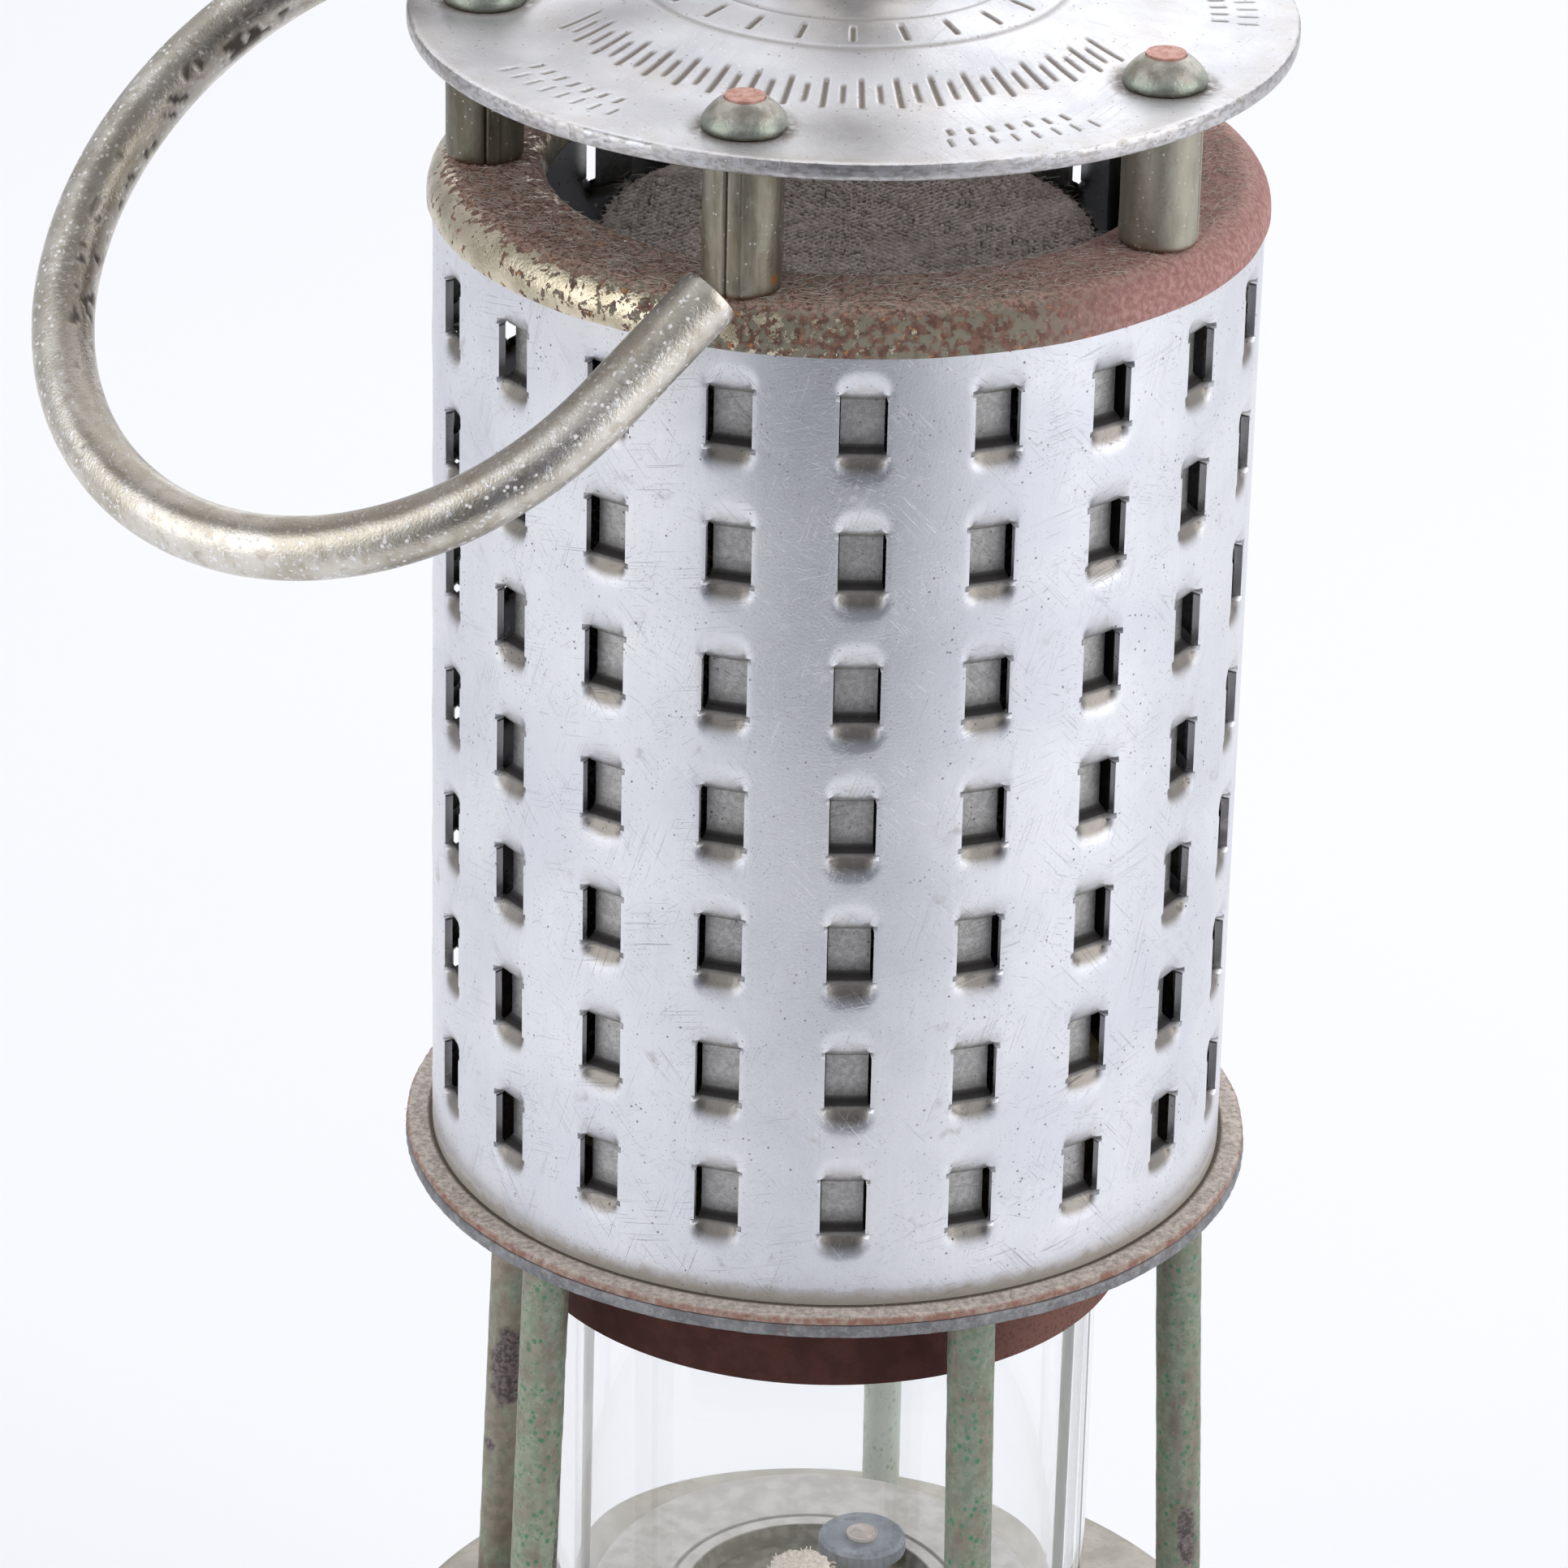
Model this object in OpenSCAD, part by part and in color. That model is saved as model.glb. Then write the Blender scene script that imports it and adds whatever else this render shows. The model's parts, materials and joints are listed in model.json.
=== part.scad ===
// Miner's flame safety lamp.
// The axis is Z, the flat underside of the base is at z = 0, and -Y is the front.
// Turns are counted from the front towards +X.

/* [Base vessel] */
// Outer diameter of the vessel and of the frame's foot ring
base_d = 82.4; // [76:0.2:90]
// Height of the vessel up to its shoulder
vessel_h = 33; // [30:0.5:40]
// Wall of the vessel
vessel_wall = 1.6; // [1.2:0.1:2]
// Thickness of the bottom plate
bottom_t = 9; // [8:0.5:11]
// Diameter of the threaded neck
neck_d = 72; // [68:0.2:73]
// Height of the burner deck above the foot ring
deck_rise = 10; // [8:0.5:12]

/* [Frame] */
// Height of the foot ring
ring_h = 18.4; // [16:0.2:22]
// Diameter of the pillars
pillar_d = 4.3; // [3.5:0.1:5]
// Distance of the pillars from the axis at the top
pillar_top_r = 32.8; // [31:0.1:34]
// Distance of the pillars from the axis at the foot
pillar_foot_r = 35.2; // [33:0.1:37]
// Turn of the first pillar
pillar_turn = 24; // [0:1:71]
// Diameter of the frame plate and the bonnet flange
plate_d = 76.8; // [75:0.2:80]
// Thickness of the frame plate
plate_t = 1.2; // [1:0.1:2]

/* [Glass] */
// Outer diameter of the glass
glass_d = 50.8; // [48:0.2:52]
// Wall of the glass
glass_wall = 2.8; // [2:0.1:4]
// Height of the glass
glass_h = 57.4; // [50:0.2:60]
// Thickness of each glass gasket
gasket_t = 1.2; // [0.8:0.1:1.6]

/* [Bonnet] */
// Outer diameter of the bonnet
bonnet_d = 72; // [70:0.5:74]
// Height of the bonnet
bonnet_h = 90.1; // [89.5:0.1:100]
// Sheet thickness of the bonnet
sheet_t = 0.72; // [0.6:0.02:1]
// Columns of air slots
slot_columns = 20; // [16:1:22]
// Rows of air slots
slot_rows = 7; // [5:1:7]
// Height from one row to the next
slot_pitch = 12.2; // [11:0.1:13]
// Width of an air slot
slot_w = 4; // [3:0.1:5]
// Height of the open slits beside a pressed strip
slit_h = 5.1; // [4:0.1:6]
// How far a strip is pressed in
slot_depth = 1.8; // [1.2:0.1:2.2]
// Turn of the column of slots nearest the front
bonnet_turn = 2.9; // [-9:0.1:9]

/* [Hood] */
// Height of the space between the bonnet's rim and the hood
hood_gap = 12.2; // [10:0.1:14]
// Diameter of the hood
hood_d = 76.2; // [75:0.2:80]
// Thickness of the hood
hood_t = 1.6; // [1.2:0.1:2.5]
// How far the middle of the hood rises above its flat outer part
crown_h = 4; // [3:0.1:5]
// Diameter of the hood's raised middle
crown_d = 54; // [48:0.5:56]
// Diameter of the distance tubes
tube_d = 6.8; // [6:0.1:8]
// Diameter of the tie rods
rod_d = 3.4; // [3:0.1:4]
// Distance of the tie rods from the axis
rod_r = 31.4; // [30.5:0.1:32]
// Turn of the tie rod nearest the front
rod_turn = -16; // [-36:1:35]
// Diameter of the domed washers
dome_d = 7.3; // [7:0.1:8]
// Height of the domed washers before their holes are cut
dome_h = 3.1; // [2.6:0.1:3.6]

/* [Hook] */
// Diameter of the hook's rod
hook_d = 5.4; // [5:0.1:6]
// Height of the hook's pivot above the hood
pivot_h = 19.8; // [19:0.1:24]
// Turn of the hook's pivot axis about the lamp's axis
hook_turn = -36; // [-60:1:0]
// How far the hook lies below the level of its pivot
hook_drop = 39.7; // [34:0.1:41]
// Bend between the pivot and the shank
heel_bend = 46.3; // [40:0.1:50]
// Length of the straight shank
shank_l = 37; // [34:0.5:40]
// Radius of the bend's first part
first_bend_r = 32; // [31:0.1:33]
// Sweep of the bend's first part
first_bend = 66.1; // [60:0.1:68]
// Radius of the bend's second part
second_bend_r = 29.7; // [29:0.1:31]
// Sweep of the bend's second part
second_bend = 141.4; // [136:0.1:145]
// Length of the straight tip
tip_l = 12.8; // [8:0.2:15]

/* [Burner] */
// Diameter of the wick
wick_d = 5.5; // [4:0.1:6]
// How far the wick stands out of its tube
wick_out = 2.6; // [1:0.1:4]
// Diameter of the striker wheel
striker_d = 8.4; // [6:0.1:9]

/* [Hidden] */
eps = 0.01;
run_fit = 0.05;
gap = 0.3;
RODS = 5;

// Heights, from the floor up
seal_t = 0.6;
ring_z = vessel_h + seal_t;
ring_top = ring_z + ring_h;
ledge_t = 2.7;
ledge_z = ring_top - 2.8;
glass_z = ledge_z + gasket_t;
glass_top = glass_z + glass_h;
holder_z = glass_top - 7.7;
holder_web_z = glass_top + gasket_t;
holder_web_t = 1.8;
plate_z = holder_web_z + holder_web_t;
flange_t = 0.8;
flange_z = plate_z + plate_t;
bonnet_z = flange_z + flange_t;
bonnet_top = bonnet_z + bonnet_h;
slot_mid_z = bonnet_z + 46.15;
rim_low = bonnet_top - 0.9;
rim_top = bonnet_top + 3;
rim_t = 0.45;
gauze_top = rim_top - 6;
hood_z = rim_top + hood_gap;
hood_top = hood_z + hood_t;
seat_z = hood_top + crown_h;
pivot_z = hood_top + pivot_h;
deck_z = ring_top + deck_rise;

// Radii
base_r = base_d / 2;
neck_r = neck_d / 2;
glass_r = glass_d / 2;
glass_in_r = glass_r - glass_wall;
deck_r = glass_in_r - 1.3;
ledge_r = glass_in_r + 0.3;
port_r = 19.9;
bonnet_r = bonnet_d / 2;
plate_r = plate_d / 2;
hood_r = hood_d / 2;
holder_r = 27.9;
holder_t = 1;
rim_bend = 3;
rim_r = bonnet_r + run_fit + rim_t;
rim_hole_r = 26.3;
lip_bend = 1.2;
gauze_t = 0.6;
outer_gauze_r = [23.3, 21.8];
inner_gauze_r = [20.6, 19.5];
gauze_foot_r = 26;
gauze_foot_h = 4;
inner_gauze_h = 84;

// Places of the pieces that pass through the vessel
wick_at = [-1.2, -2];
raiser_at = [-14, -6];
striker_at = [4.6, 5];
flint_at = [4.6, 1];
filler_at = [16, -16];
knob_space = 2;
pocket_h = 6.5;
filler_pocket_r = 8.2;
filler_pocket_h = 4.5;
filler_r = 5.5;
filler_gasket_t = 0.9;
wick_knob_r = 8;
striker_knob_r = 5.2;
knob_z = 1;
knob_h = 4.6;
screw_r = 1.5;
guide_wall = 1;
spindle_r = 1.25;
wick_tube_wall = 0.6;
wick_tube_z = 40.5;
wick_low = 26;
wick_tube_top = deck_z + 2;
wick_top = wick_tube_top + wick_out;
cotton_z = bottom_t + 0.5;
cotton_top = 29.5;
cotton_r = 34;
raiser_z = 33;
raiser_h = 4;
raiser_r = 4.6;
striker_t = 1.8;
striker_z = deck_z + 1.6;
dish_r = 12;
dish_h = 1.5;
deck_t = 1.2;
dish_z = deck_z - dish_h;
flint_gap = 0.4;
flint_r = 0.7;

// Hook and swivel
hook_r = hook_d / 2;
pin_l = 6.5;
heel_r = 10;
eye_r = 7.4;
eye_t = 9;
stem_r = 5;
stem_short = 5.2;
collar_r = 7.5;
seat_r = 9;
collar_t = 2.5;
stud_r = 4;
nut_r = 7;
nut_t = 3.2;
washer_r = 4.7;
washer_t = 1.6;

NUMBERS = [for (i = [1:RODS]) str(i)];

// ---- Helpers ----

// Points along an arc, from angle a0 to angle a1
function arc(cx, cy, r, a0, a1, n = 6) =
    [for (i = [0:n]) let (a = a0 + (a1 - a0) * i / n) [cx + r * cos(a), cy + r * sin(a)]];

// A solid of revolution about the lamp's axis
module lathe(points) {
    rotate_extrude($fn = 96) polygon(points);
}

// A ring between two radii
module ring(r_out, r_in, z, h) {
    difference() {
        translate([0, 0, z]) cylinder(r = r_out, h = h, $fn = 96);
        translate([0, 0, z - 1]) cylinder(r = r_in, h = h + 2, $fn = 96);
    }
}

// A round bar that stands at a place in the vessel
module bar(at, r, z, h) {
    translate([at[0], at[1], z]) cylinder(r = r, h = h, $fn = 32);
}

// Puts its child at a radius and a turn counted from the front
module around(radius, turn) {
    rotate([0, 0, turn - 90]) translate([radius, 0, 0]) children();
}

// ---- Base vessel ----

module vessel() {
    wall = vessel_wall;
    foot = 1.5;
    neck_top = ring_top - 6.4;
    color([0.62, 0.62, 0.6])
    difference() {
        lathe(concat(
            [[base_r - wall, 0]],
            arc(base_r - foot, foot, foot, -90, 0),
            [[base_r, vessel_h], [neck_r, vessel_h], [neck_r, neck_top],
             [deck_r, neck_top], [deck_r, deck_z], [dish_r, deck_z],
             [dish_r - 0.8, dish_z], [0, dish_z], [0, dish_z - deck_t], [dish_r, dish_z - deck_t],
             [dish_r + 0.8, deck_z - deck_t], [deck_r - deck_t, deck_z - deck_t], [deck_r - deck_t, neck_top - wall],
             [neck_r - wall, neck_top - wall], [neck_r - wall, vessel_h - wall],
             [base_r - wall, vessel_h - wall]]));
        bar(wick_at, wick_d / 2 + wick_tube_wall + run_fit, deck_z - 3, 6);
        bar(striker_at, spindle_r + run_fit, deck_z - 3, 6);
        ring(13.9, 13.4, deck_z - 0.3, 1);
    }
}

module bottom_plate() {
    color([0.6, 0.6, 0.62])
    difference() {
        cylinder(r = base_r - vessel_wall, h = bottom_t, $fn = 96);
        bar(raiser_at, wick_knob_r + knob_space, -1, pocket_h + 1);
        bar(raiser_at, screw_r + run_fit, -1, bottom_t + 2);
        bar(striker_at, striker_knob_r + knob_space, -1, pocket_h + 1);
        bar(striker_at, spindle_r + run_fit, -1, bottom_t + 2);
        bar(filler_at, filler_pocket_r, -1, filler_pocket_h + 1);
        bar(filler_at, filler_r + run_fit, -1, bottom_t + 2);
    }
}

module bottom_seal() {
    seal_out = base_r - vessel_wall;
    color([0.15, 0.13, 0.12]) ring(seal_out, seal_out - 3, bottom_t, 0.8);
}

module filler_cap() {
    head_h = filler_pocket_h - filler_gasket_t - 0.8;
    color([0.7, 0.58, 0.32])
    difference() {
        union() {
            bar(filler_at, filler_pocket_r - 1, 0.8, head_h);
            bar(filler_at, filler_r, 0.8 + head_h - eps, bottom_t - head_h - 0.8 + eps);
        }
        translate([filler_at[0] - 5, filler_at[1] - 0.8, 0]) cube([10, 1.6, 2]);
    }
}

module filler_gasket() {
    color([0.15, 0.13, 0.12])
    translate([filler_at[0], filler_at[1], 0])
    ring(filler_pocket_r - 1, filler_r + run_fit, filler_pocket_h - filler_gasket_t, filler_gasket_t);
}

module cotton_packing() {
    clear = 0.4;
    color([0.85, 0.82, 0.74])
    difference() {
        translate([0, 0, cotton_z]) cylinder(r = cotton_r, h = cotton_top - cotton_z, $fn = 96);
        bar(raiser_at, screw_r + guide_wall + clear, 0, 60);
        bar(striker_at, spindle_r + guide_wall + clear, 0, 60);
        bar(wick_at, wick_d / 2 + clear, 0, 60);
        bar(filler_at, filler_r + 1, 0, 60);
    }
}

// ---- Wick and its raiser ----

module wick_tube() {
    color([0.72, 0.6, 0.33])
    translate([wick_at[0], wick_at[1], 0])
    ring(wick_d / 2 + wick_tube_wall, wick_d / 2 + run_fit, wick_tube_z, wick_tube_top - wick_tube_z);
}

module wick() {
    color([0.85, 0.76, 0.62]) bar(wick_at, wick_d / 2, wick_low, wick_top - wick_low);
}

// The nut on the screw and the collar that grips the wick, joined by an arm
module wick_raiser() {
    arm = wick_at - raiser_at;
    color([0.7, 0.58, 0.32])
    difference() {
        union() {
            bar(raiser_at, 3.2, raiser_z, raiser_h);
            bar(wick_at, raiser_r, raiser_z, raiser_h);
            translate([raiser_at[0], raiser_at[1], raiser_z + 1])
            rotate([0, 0, atan2(arm[1], arm[0])])
            translate([0, -1.5, 0]) cube([norm(arm), 3, raiser_h - 2]);
        }
        bar(wick_at, wick_d / 2, 0, 60);
        bar(raiser_at, screw_r + run_fit, 0, 60);
    }
}

module wick_screw() {
    color([0.6, 0.6, 0.6]) bar(raiser_at, screw_r, knob_z + knob_h, 42 - knob_z - knob_h);
}

// A knurled knob in a pocket of the bottom plate
module knob(at, r) {
    grips = 12;
    grip_r = 0.55;
    difference() {
        bar(at, r, knob_z, knob_h);
        for (i = [0:grips - 1])
            translate([at[0], at[1], 0]) rotate([0, 0, i * 360 / grips]) bar([r, 0], grip_r, 0, 10);
    }
}

module wick_knob() {
    color([0.7, 0.58, 0.32]) knob(raiser_at, wick_knob_r);
}

// A tube that keeps the fuel off a spindle
module guide(at, r, top) {
    translate([at[0], at[1], 0]) ring(r + guide_wall, r + run_fit, bottom_t, top - bottom_t);
}

module wick_guide() {
    color([0.6, 0.6, 0.6]) guide(raiser_at, screw_r, cotton_top);
}

// ---- Striker ----

module striker_wheel() {
    rivet_r = 1.5;
    color([0.25, 0.28, 0.33])
    difference() {
        union() {
            bar(striker_at, striker_d / 2, striker_z, striker_t);
            bar(striker_at, rivet_r, striker_z, striker_t + 0.5);
        }
        bar(striker_at, spindle_r, striker_z - 1, 2);
    }
}

module striker_spindle() {
    color([0.6, 0.6, 0.6])
    bar(striker_at, spindle_r, knob_z + knob_h, striker_z + 1 - knob_z - knob_h);
}

module striker_knob() {
    color([0.7, 0.58, 0.32]) knob(striker_at, striker_knob_r);
}

module striker_guide() {
    color([0.6, 0.6, 0.6]) guide(striker_at, spindle_r, dish_z - deck_t);
}

module striker_seat() {
    color([0.4, 0.4, 0.4])
    translate([striker_at[0], striker_at[1], 0]) ring(2.4, spindle_r + run_fit, dish_z, striker_z - dish_z - gap);
}

// A tube that stands in the dish under the wheel and carries the flint
module flint_holder() {
    color([0.5, 0.48, 0.42])
    translate([flint_at[0], flint_at[1], 0]) ring(flint_r + 0.6, flint_r, dish_z, 2);
}

module flint() {
    color([0.35, 0.33, 0.32]) bar(flint_at, flint_r, dish_z, striker_z - flint_gap - dish_z);
}

// ---- Frame ----

module frame_seal() {
    color([0.15, 0.13, 0.12]) ring(base_r - 1, neck_r + 0.1, vessel_h, seal_t);
}

module foot_ring() {
    edge = 1.6;
    bore_r = glass_r + 0.9;
    color([0.56, 0.57, 0.53])
    lathe(concat(
        [[neck_r + run_fit, ring_z], [base_r, ring_z]],
        arc(base_r - edge, ring_top - edge, edge, 0, 90),
        [[bore_r, ring_top], [bore_r, ledge_z], [ledge_r, ledge_z], [ledge_r, ledge_z - ledge_t],
         [neck_r + run_fit, ledge_z - ledge_t]]));
}

module lower_gasket() {
    color([0.55, 0.5, 0.42]) ring(glass_r + 0.4, ledge_r, ledge_z, gasket_t);
}

module glass() {
    color([0.85, 0.92, 0.95, 0.4]) ring(glass_r, glass_in_r, glass_z, glass_h);
}

module upper_gasket() {
    color([0.55, 0.5, 0.42]) ring(glass_r + 0.4, ledge_r, glass_top, gasket_t);
}

module glass_holder() {
    color([0.36, 0.2, 0.17])
    lathe([[holder_r - holder_t, holder_z], [holder_r, holder_z], [holder_r, plate_z],
           [port_r, plate_z], [port_r, holder_web_z], [holder_r - holder_t, holder_web_z]]);
}

// A pillar that leans outwards going down, cut level at both plates
module pillar(i) {
    run = pillar_foot_r - pillar_top_r;
    rise = plate_z - ring_top;
    lean = atan2(run, rise);
    spare = 4;
    color([0.5, 0.56, 0.47])
    rotate([0, 0, pillar_turn - 90 + 360 / RODS * i])
    intersection() {
        translate([pillar_foot_r, 0, ring_top]) rotate([0, -lean, 0])
            translate([0, 0, -spare]) cylinder(r = pillar_d / 2, h = rise + 2 * spare, $fn = 32);
        translate([pillar_top_r - 8, -8, ring_top]) cube([20, 16, rise]);
    }
}

module rod_holes(z, h) {
    for (i = [0:RODS - 1])
        around(rod_r, rod_turn + 360 / RODS * i)
        translate([0, 0, z]) cylinder(r = rod_d / 2 + run_fit, h = h, $fn = 24);
}

module frame_plate() {
    color([0.48, 0.49, 0.5])
    difference() {
        ring(plate_r, port_r, plate_z, plate_t);
        rod_holes(plate_z - 1, plate_t + 2);
    }
}

// ---- Bonnet ----

module bonnet_flange() {
    color([0.5, 0.4, 0.34])
    difference() {
        ring(plate_r - 0.1, port_r, flange_z, flange_t);
        rod_holes(flange_z - 1, flange_t + 2);
    }
}

// One strip pressed inwards, seen from its side: it leaves the wall, runs level and comes back
module pressed_strip() {
    half = slit_h / 2;
    ramp = 2.5;
    deep = bonnet_r - slot_depth;
    thick = sheet_t;
    translate([0, slot_w / 2, 0]) rotate([90, 0, 0])
    linear_extrude(slot_w)
    polygon([[deep, -half], [deep, half], [bonnet_r - 0.05, half + ramp],
             [bonnet_r - thick, half + ramp], [deep - thick, half], [deep - thick, -half],
             [bonnet_r - thick, -half - ramp], [bonnet_r - 0.05, -half - ramp]]);
}

module at_slots() {
    for (column = [0:slot_columns - 1], row = [0:slot_rows - 1])
        rotate([0, 0, bonnet_turn - 90 + 360 / slot_columns * column])
        translate([0, 0, slot_mid_z + (row - (slot_rows - 1) / 2) * slot_pitch])
        children();
}

module bonnet_shell() {
    cut_h = slit_h + 4.4;
    color([0.76, 0.77, 0.79])
    union() {
        difference() {
            ring(bonnet_r, bonnet_r - sheet_t, bonnet_z, bonnet_h);
            at_slots() translate([bonnet_r - 3, -slot_w / 2, -cut_h / 2]) cube([6, slot_w, cut_h]);
        }
        at_slots() pressed_strip();
    }
}

// The rolled steel cap that closes the bonnet's top edge
module bonnet_rim() {
    corner = rim_r - rim_bend;
    lip = rim_hole_r + lip_bend;
    color([0.5, 0.32, 0.27])
    difference() {
        lathe(concat(
            [[rim_r, rim_low]],
            arc(corner, rim_top - rim_bend, rim_bend, 0, 90),
            arc(lip, rim_top - lip_bend, lip_bend, 90, 180, 4),
            [[rim_hole_r, rim_top - 2.9], [rim_hole_r + rim_t, rim_top - 2.9]],
            arc(lip, rim_top - lip_bend, lip_bend - rim_t, 180, 90, 4),
            arc(corner, rim_top - rim_bend, rim_bend - rim_t, 90, 0),
            [[rim_r - rim_t, rim_low]]));
        rod_holes(rim_top - 3, 6);
    }
}

module gauze_ring() {
    color([0.62, 0.53, 0.32]) ring(gauze_foot_r, outer_gauze_r[0] + run_fit, bonnet_z, gauze_foot_h);
}

// A wire gauze cap, tapering upwards and closed at the top
module gauze_cap(radii, top) {
    lathe([[radii[0] - gauze_t, bonnet_z], [radii[0], bonnet_z], [radii[1], top], [0, top],
           [0, top - gauze_t], [radii[1] - gauze_t, top - gauze_t]]);
}

module outer_gauze() {
    color([0.4, 0.36, 0.32]) gauze_cap(outer_gauze_r, gauze_top);
}

module inner_gauze() {
    color([0.34, 0.32, 0.3]) gauze_cap(inner_gauze_r, bonnet_z + inner_gauze_h);
}

// ---- Hood ----

module tie_rod(i) {
    sunk = 0.3;
    color([0.62, 0.4, 0.33])
    around(rod_r, rod_turn + 360 / RODS * i)
    translate([0, 0, plate_z]) cylinder(r = rod_d / 2, h = hood_top + dome_h - sunk - plate_z, $fn = 24);
}

module distance_tube(i) {
    color([0.47, 0.46, 0.4])
    around(rod_r, rod_turn + 360 / RODS * i)
    ring(tube_d / 2, rod_d / 2 + run_fit, rim_top, hood_gap);
}

module dome_washer(i) {
    skirt_h = 0.6;
    ball_r = (pow(dome_d / 2, 2) + pow(dome_h - skirt_h, 2)) / (2 * (dome_h - skirt_h));
    color([0.42, 0.41, 0.36])
    around(rod_r, rod_turn + 360 / RODS * i)
    difference() {
        intersection() {
            translate([0, 0, hood_top + dome_h - ball_r]) sphere(r = ball_r, $fn = 48);
            translate([0, 0, hood_top]) cylinder(r = dome_d / 2, h = dome_h, $fn = 48);
        }
        translate([0, 0, hood_top - 1]) cylinder(r = rod_d / 2 + run_fit, h = dome_h + 2, $fn = 24);
    }
}

// Points along the raised middle of the hood, from its foot up to the flat seat of the swivel
function crown(z, n = 8) =
    [for (i = [0:n]) let (t = i / n, r = crown_d / 2 + (seat_r - crown_d / 2) * t)
        [r, z + crown_h * (1 - pow(1 - t, 2))]];

function reversed(points) = [for (i = [len(points) - 1:-1:0]) points[i]];

module hood() {
    bevel = 0.4;
    color([0.78, 0.79, 0.8])
    difference() {
        lathe(concat(
            [[stud_r + run_fit, hood_z + crown_h]],
            reversed(crown(hood_z)),
            [[hood_r - bevel, hood_z], [hood_r, hood_z + bevel],
             [hood_r, hood_top - bevel], [hood_r - bevel, hood_top]],
            crown(hood_top),
            [[stud_r + run_fit, seat_z]]));
        rod_holes(hood_z - 1, hood_t + 2);
    }
}

// ---- Swivel and hook ----

// Puts its child in the hook's plane: X along the pivot, Y down the slope, the pivot at the origin
module in_hook_plane() {
    translate([0, 0, pivot_z]) rotate([0, 0, hook_turn]) rotate([180 + hook_drop, 0, 0]) children();
}

module swivel_stud() {
    collar_z = seat_z + gap;
    nut_z = seat_z - hood_t - gap - nut_t;
    color([0.55, 0.53, 0.48])
    difference() {
        union() {
            translate([0, 0, nut_z]) cylinder(r = stud_r, h = collar_z - nut_z + eps, $fn = 48);
            translate([0, 0, collar_z]) cylinder(r = collar_r, h = collar_t, $fn = 48);
            translate([0, 0, collar_z]) cylinder(r = stem_r, h = pivot_z - collar_z - stem_short, $fn = 48);
            intersection() {
                translate([0, 0, pivot_z]) sphere(r = eye_r, $fn = 64);
                translate([0, 0, pivot_z]) rotate([0, 0, hook_turn]) cube([eye_t, 20, 20], center = true);
            }
        }
        in_hook_plane() rotate([0, 90, 0]) cylinder(r = hook_r + run_fit, h = 20, center = true, $fn = 48);
    }
}

module swivel_nut() {
    nut_z = seat_z - hood_t - gap - nut_t;
    color([0.55, 0.53, 0.48])
    difference() {
        translate([0, 0, nut_z]) cylinder(r = nut_r, h = nut_t, $fn = 6);
        translate([0, 0, nut_z - 1]) cylinder(r = stud_r, h = nut_t + 2, $fn = 48);
    }
}

// The slight swelling where two stretches of the rod meet
module seam() {
    rotate([0, 90, 0]) cylinder(r = hook_r + 0.03, h = 0.2, center = true, $fn = 32);
}

// A straight length of rod along X; the children follow at its end
module straight(l) {
    rotate([0, 90, 0]) cylinder(r = hook_r, h = l, $fn = 32);
    translate([l, 0, 0]) {
        if ($children > 0) seam();
        children();
    }
}

// A bend to the right; the children follow at its end
module bend(radius, sweep) {
    translate([0, -radius, 0]) {
        rotate([0, 0, 90 - sweep]) rotate_extrude(angle = sweep, $fn = 96)
            translate([radius, 0]) circle(r = hook_r, $fn = 32);
        rotate([0, 0, -sweep]) translate([0, radius, 0]) {
            seam();
            children();
        }
    }
}

module hook() {
    color([0.6, 0.58, 0.53])
    in_hook_plane() translate([pin_l + 1, 0, 0]) rotate([0, 0, 180])
        straight(2 * pin_l + 1) bend(heel_r, heel_bend) straight(shank_l)
        bend(first_bend_r, first_bend) bend(second_bend_r, second_bend) straight(tip_l);
}

module hook_washer() {
    color([0.55, 0.53, 0.48])
    in_hook_plane() translate([eye_t / 2 + gap, 0, 0]) rotate([0, 90, 0])
    ring(washer_r, hook_r, 0, washer_t);
}

// ---- Nodes ----

vessel();
bottom_plate();
bottom_seal();
filler_cap();
filler_gasket();
cotton_packing();
wick_tube();
wick();
wick_raiser();
wick_screw();
wick_knob();
wick_guide();
striker_wheel();
striker_spindle();
striker_knob();
striker_guide();
striker_seat();
flint_holder();
flint();
frame_seal();
foot_ring();
lower_gasket();
glass();
upper_gasket();
glass_holder();
frame_plate();
bonnet_flange();
bonnet_shell();
bonnet_rim();
gauze_ring();
outer_gauze();
inner_gauze();
hood();
swivel_stud();
swivel_nut();
hook();
hook_washer();
for (i = [0:RODS - 1]) {
    pillar(i);
    tie_rod(i);
    distance_tube(i);
    dome_washer(i);
}
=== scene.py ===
"""Miner's flame safety lamp: the looks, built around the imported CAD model.

Lengths in this file are millimetres and are turned into metres when a mesh is made.
Turns are degrees about the lamp's axis, counted from the front (-Y) towards +X.
"""

import json
import math
import random

import bpy
import numpy as np
from mathutils import Matrix, Vector, noise

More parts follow.
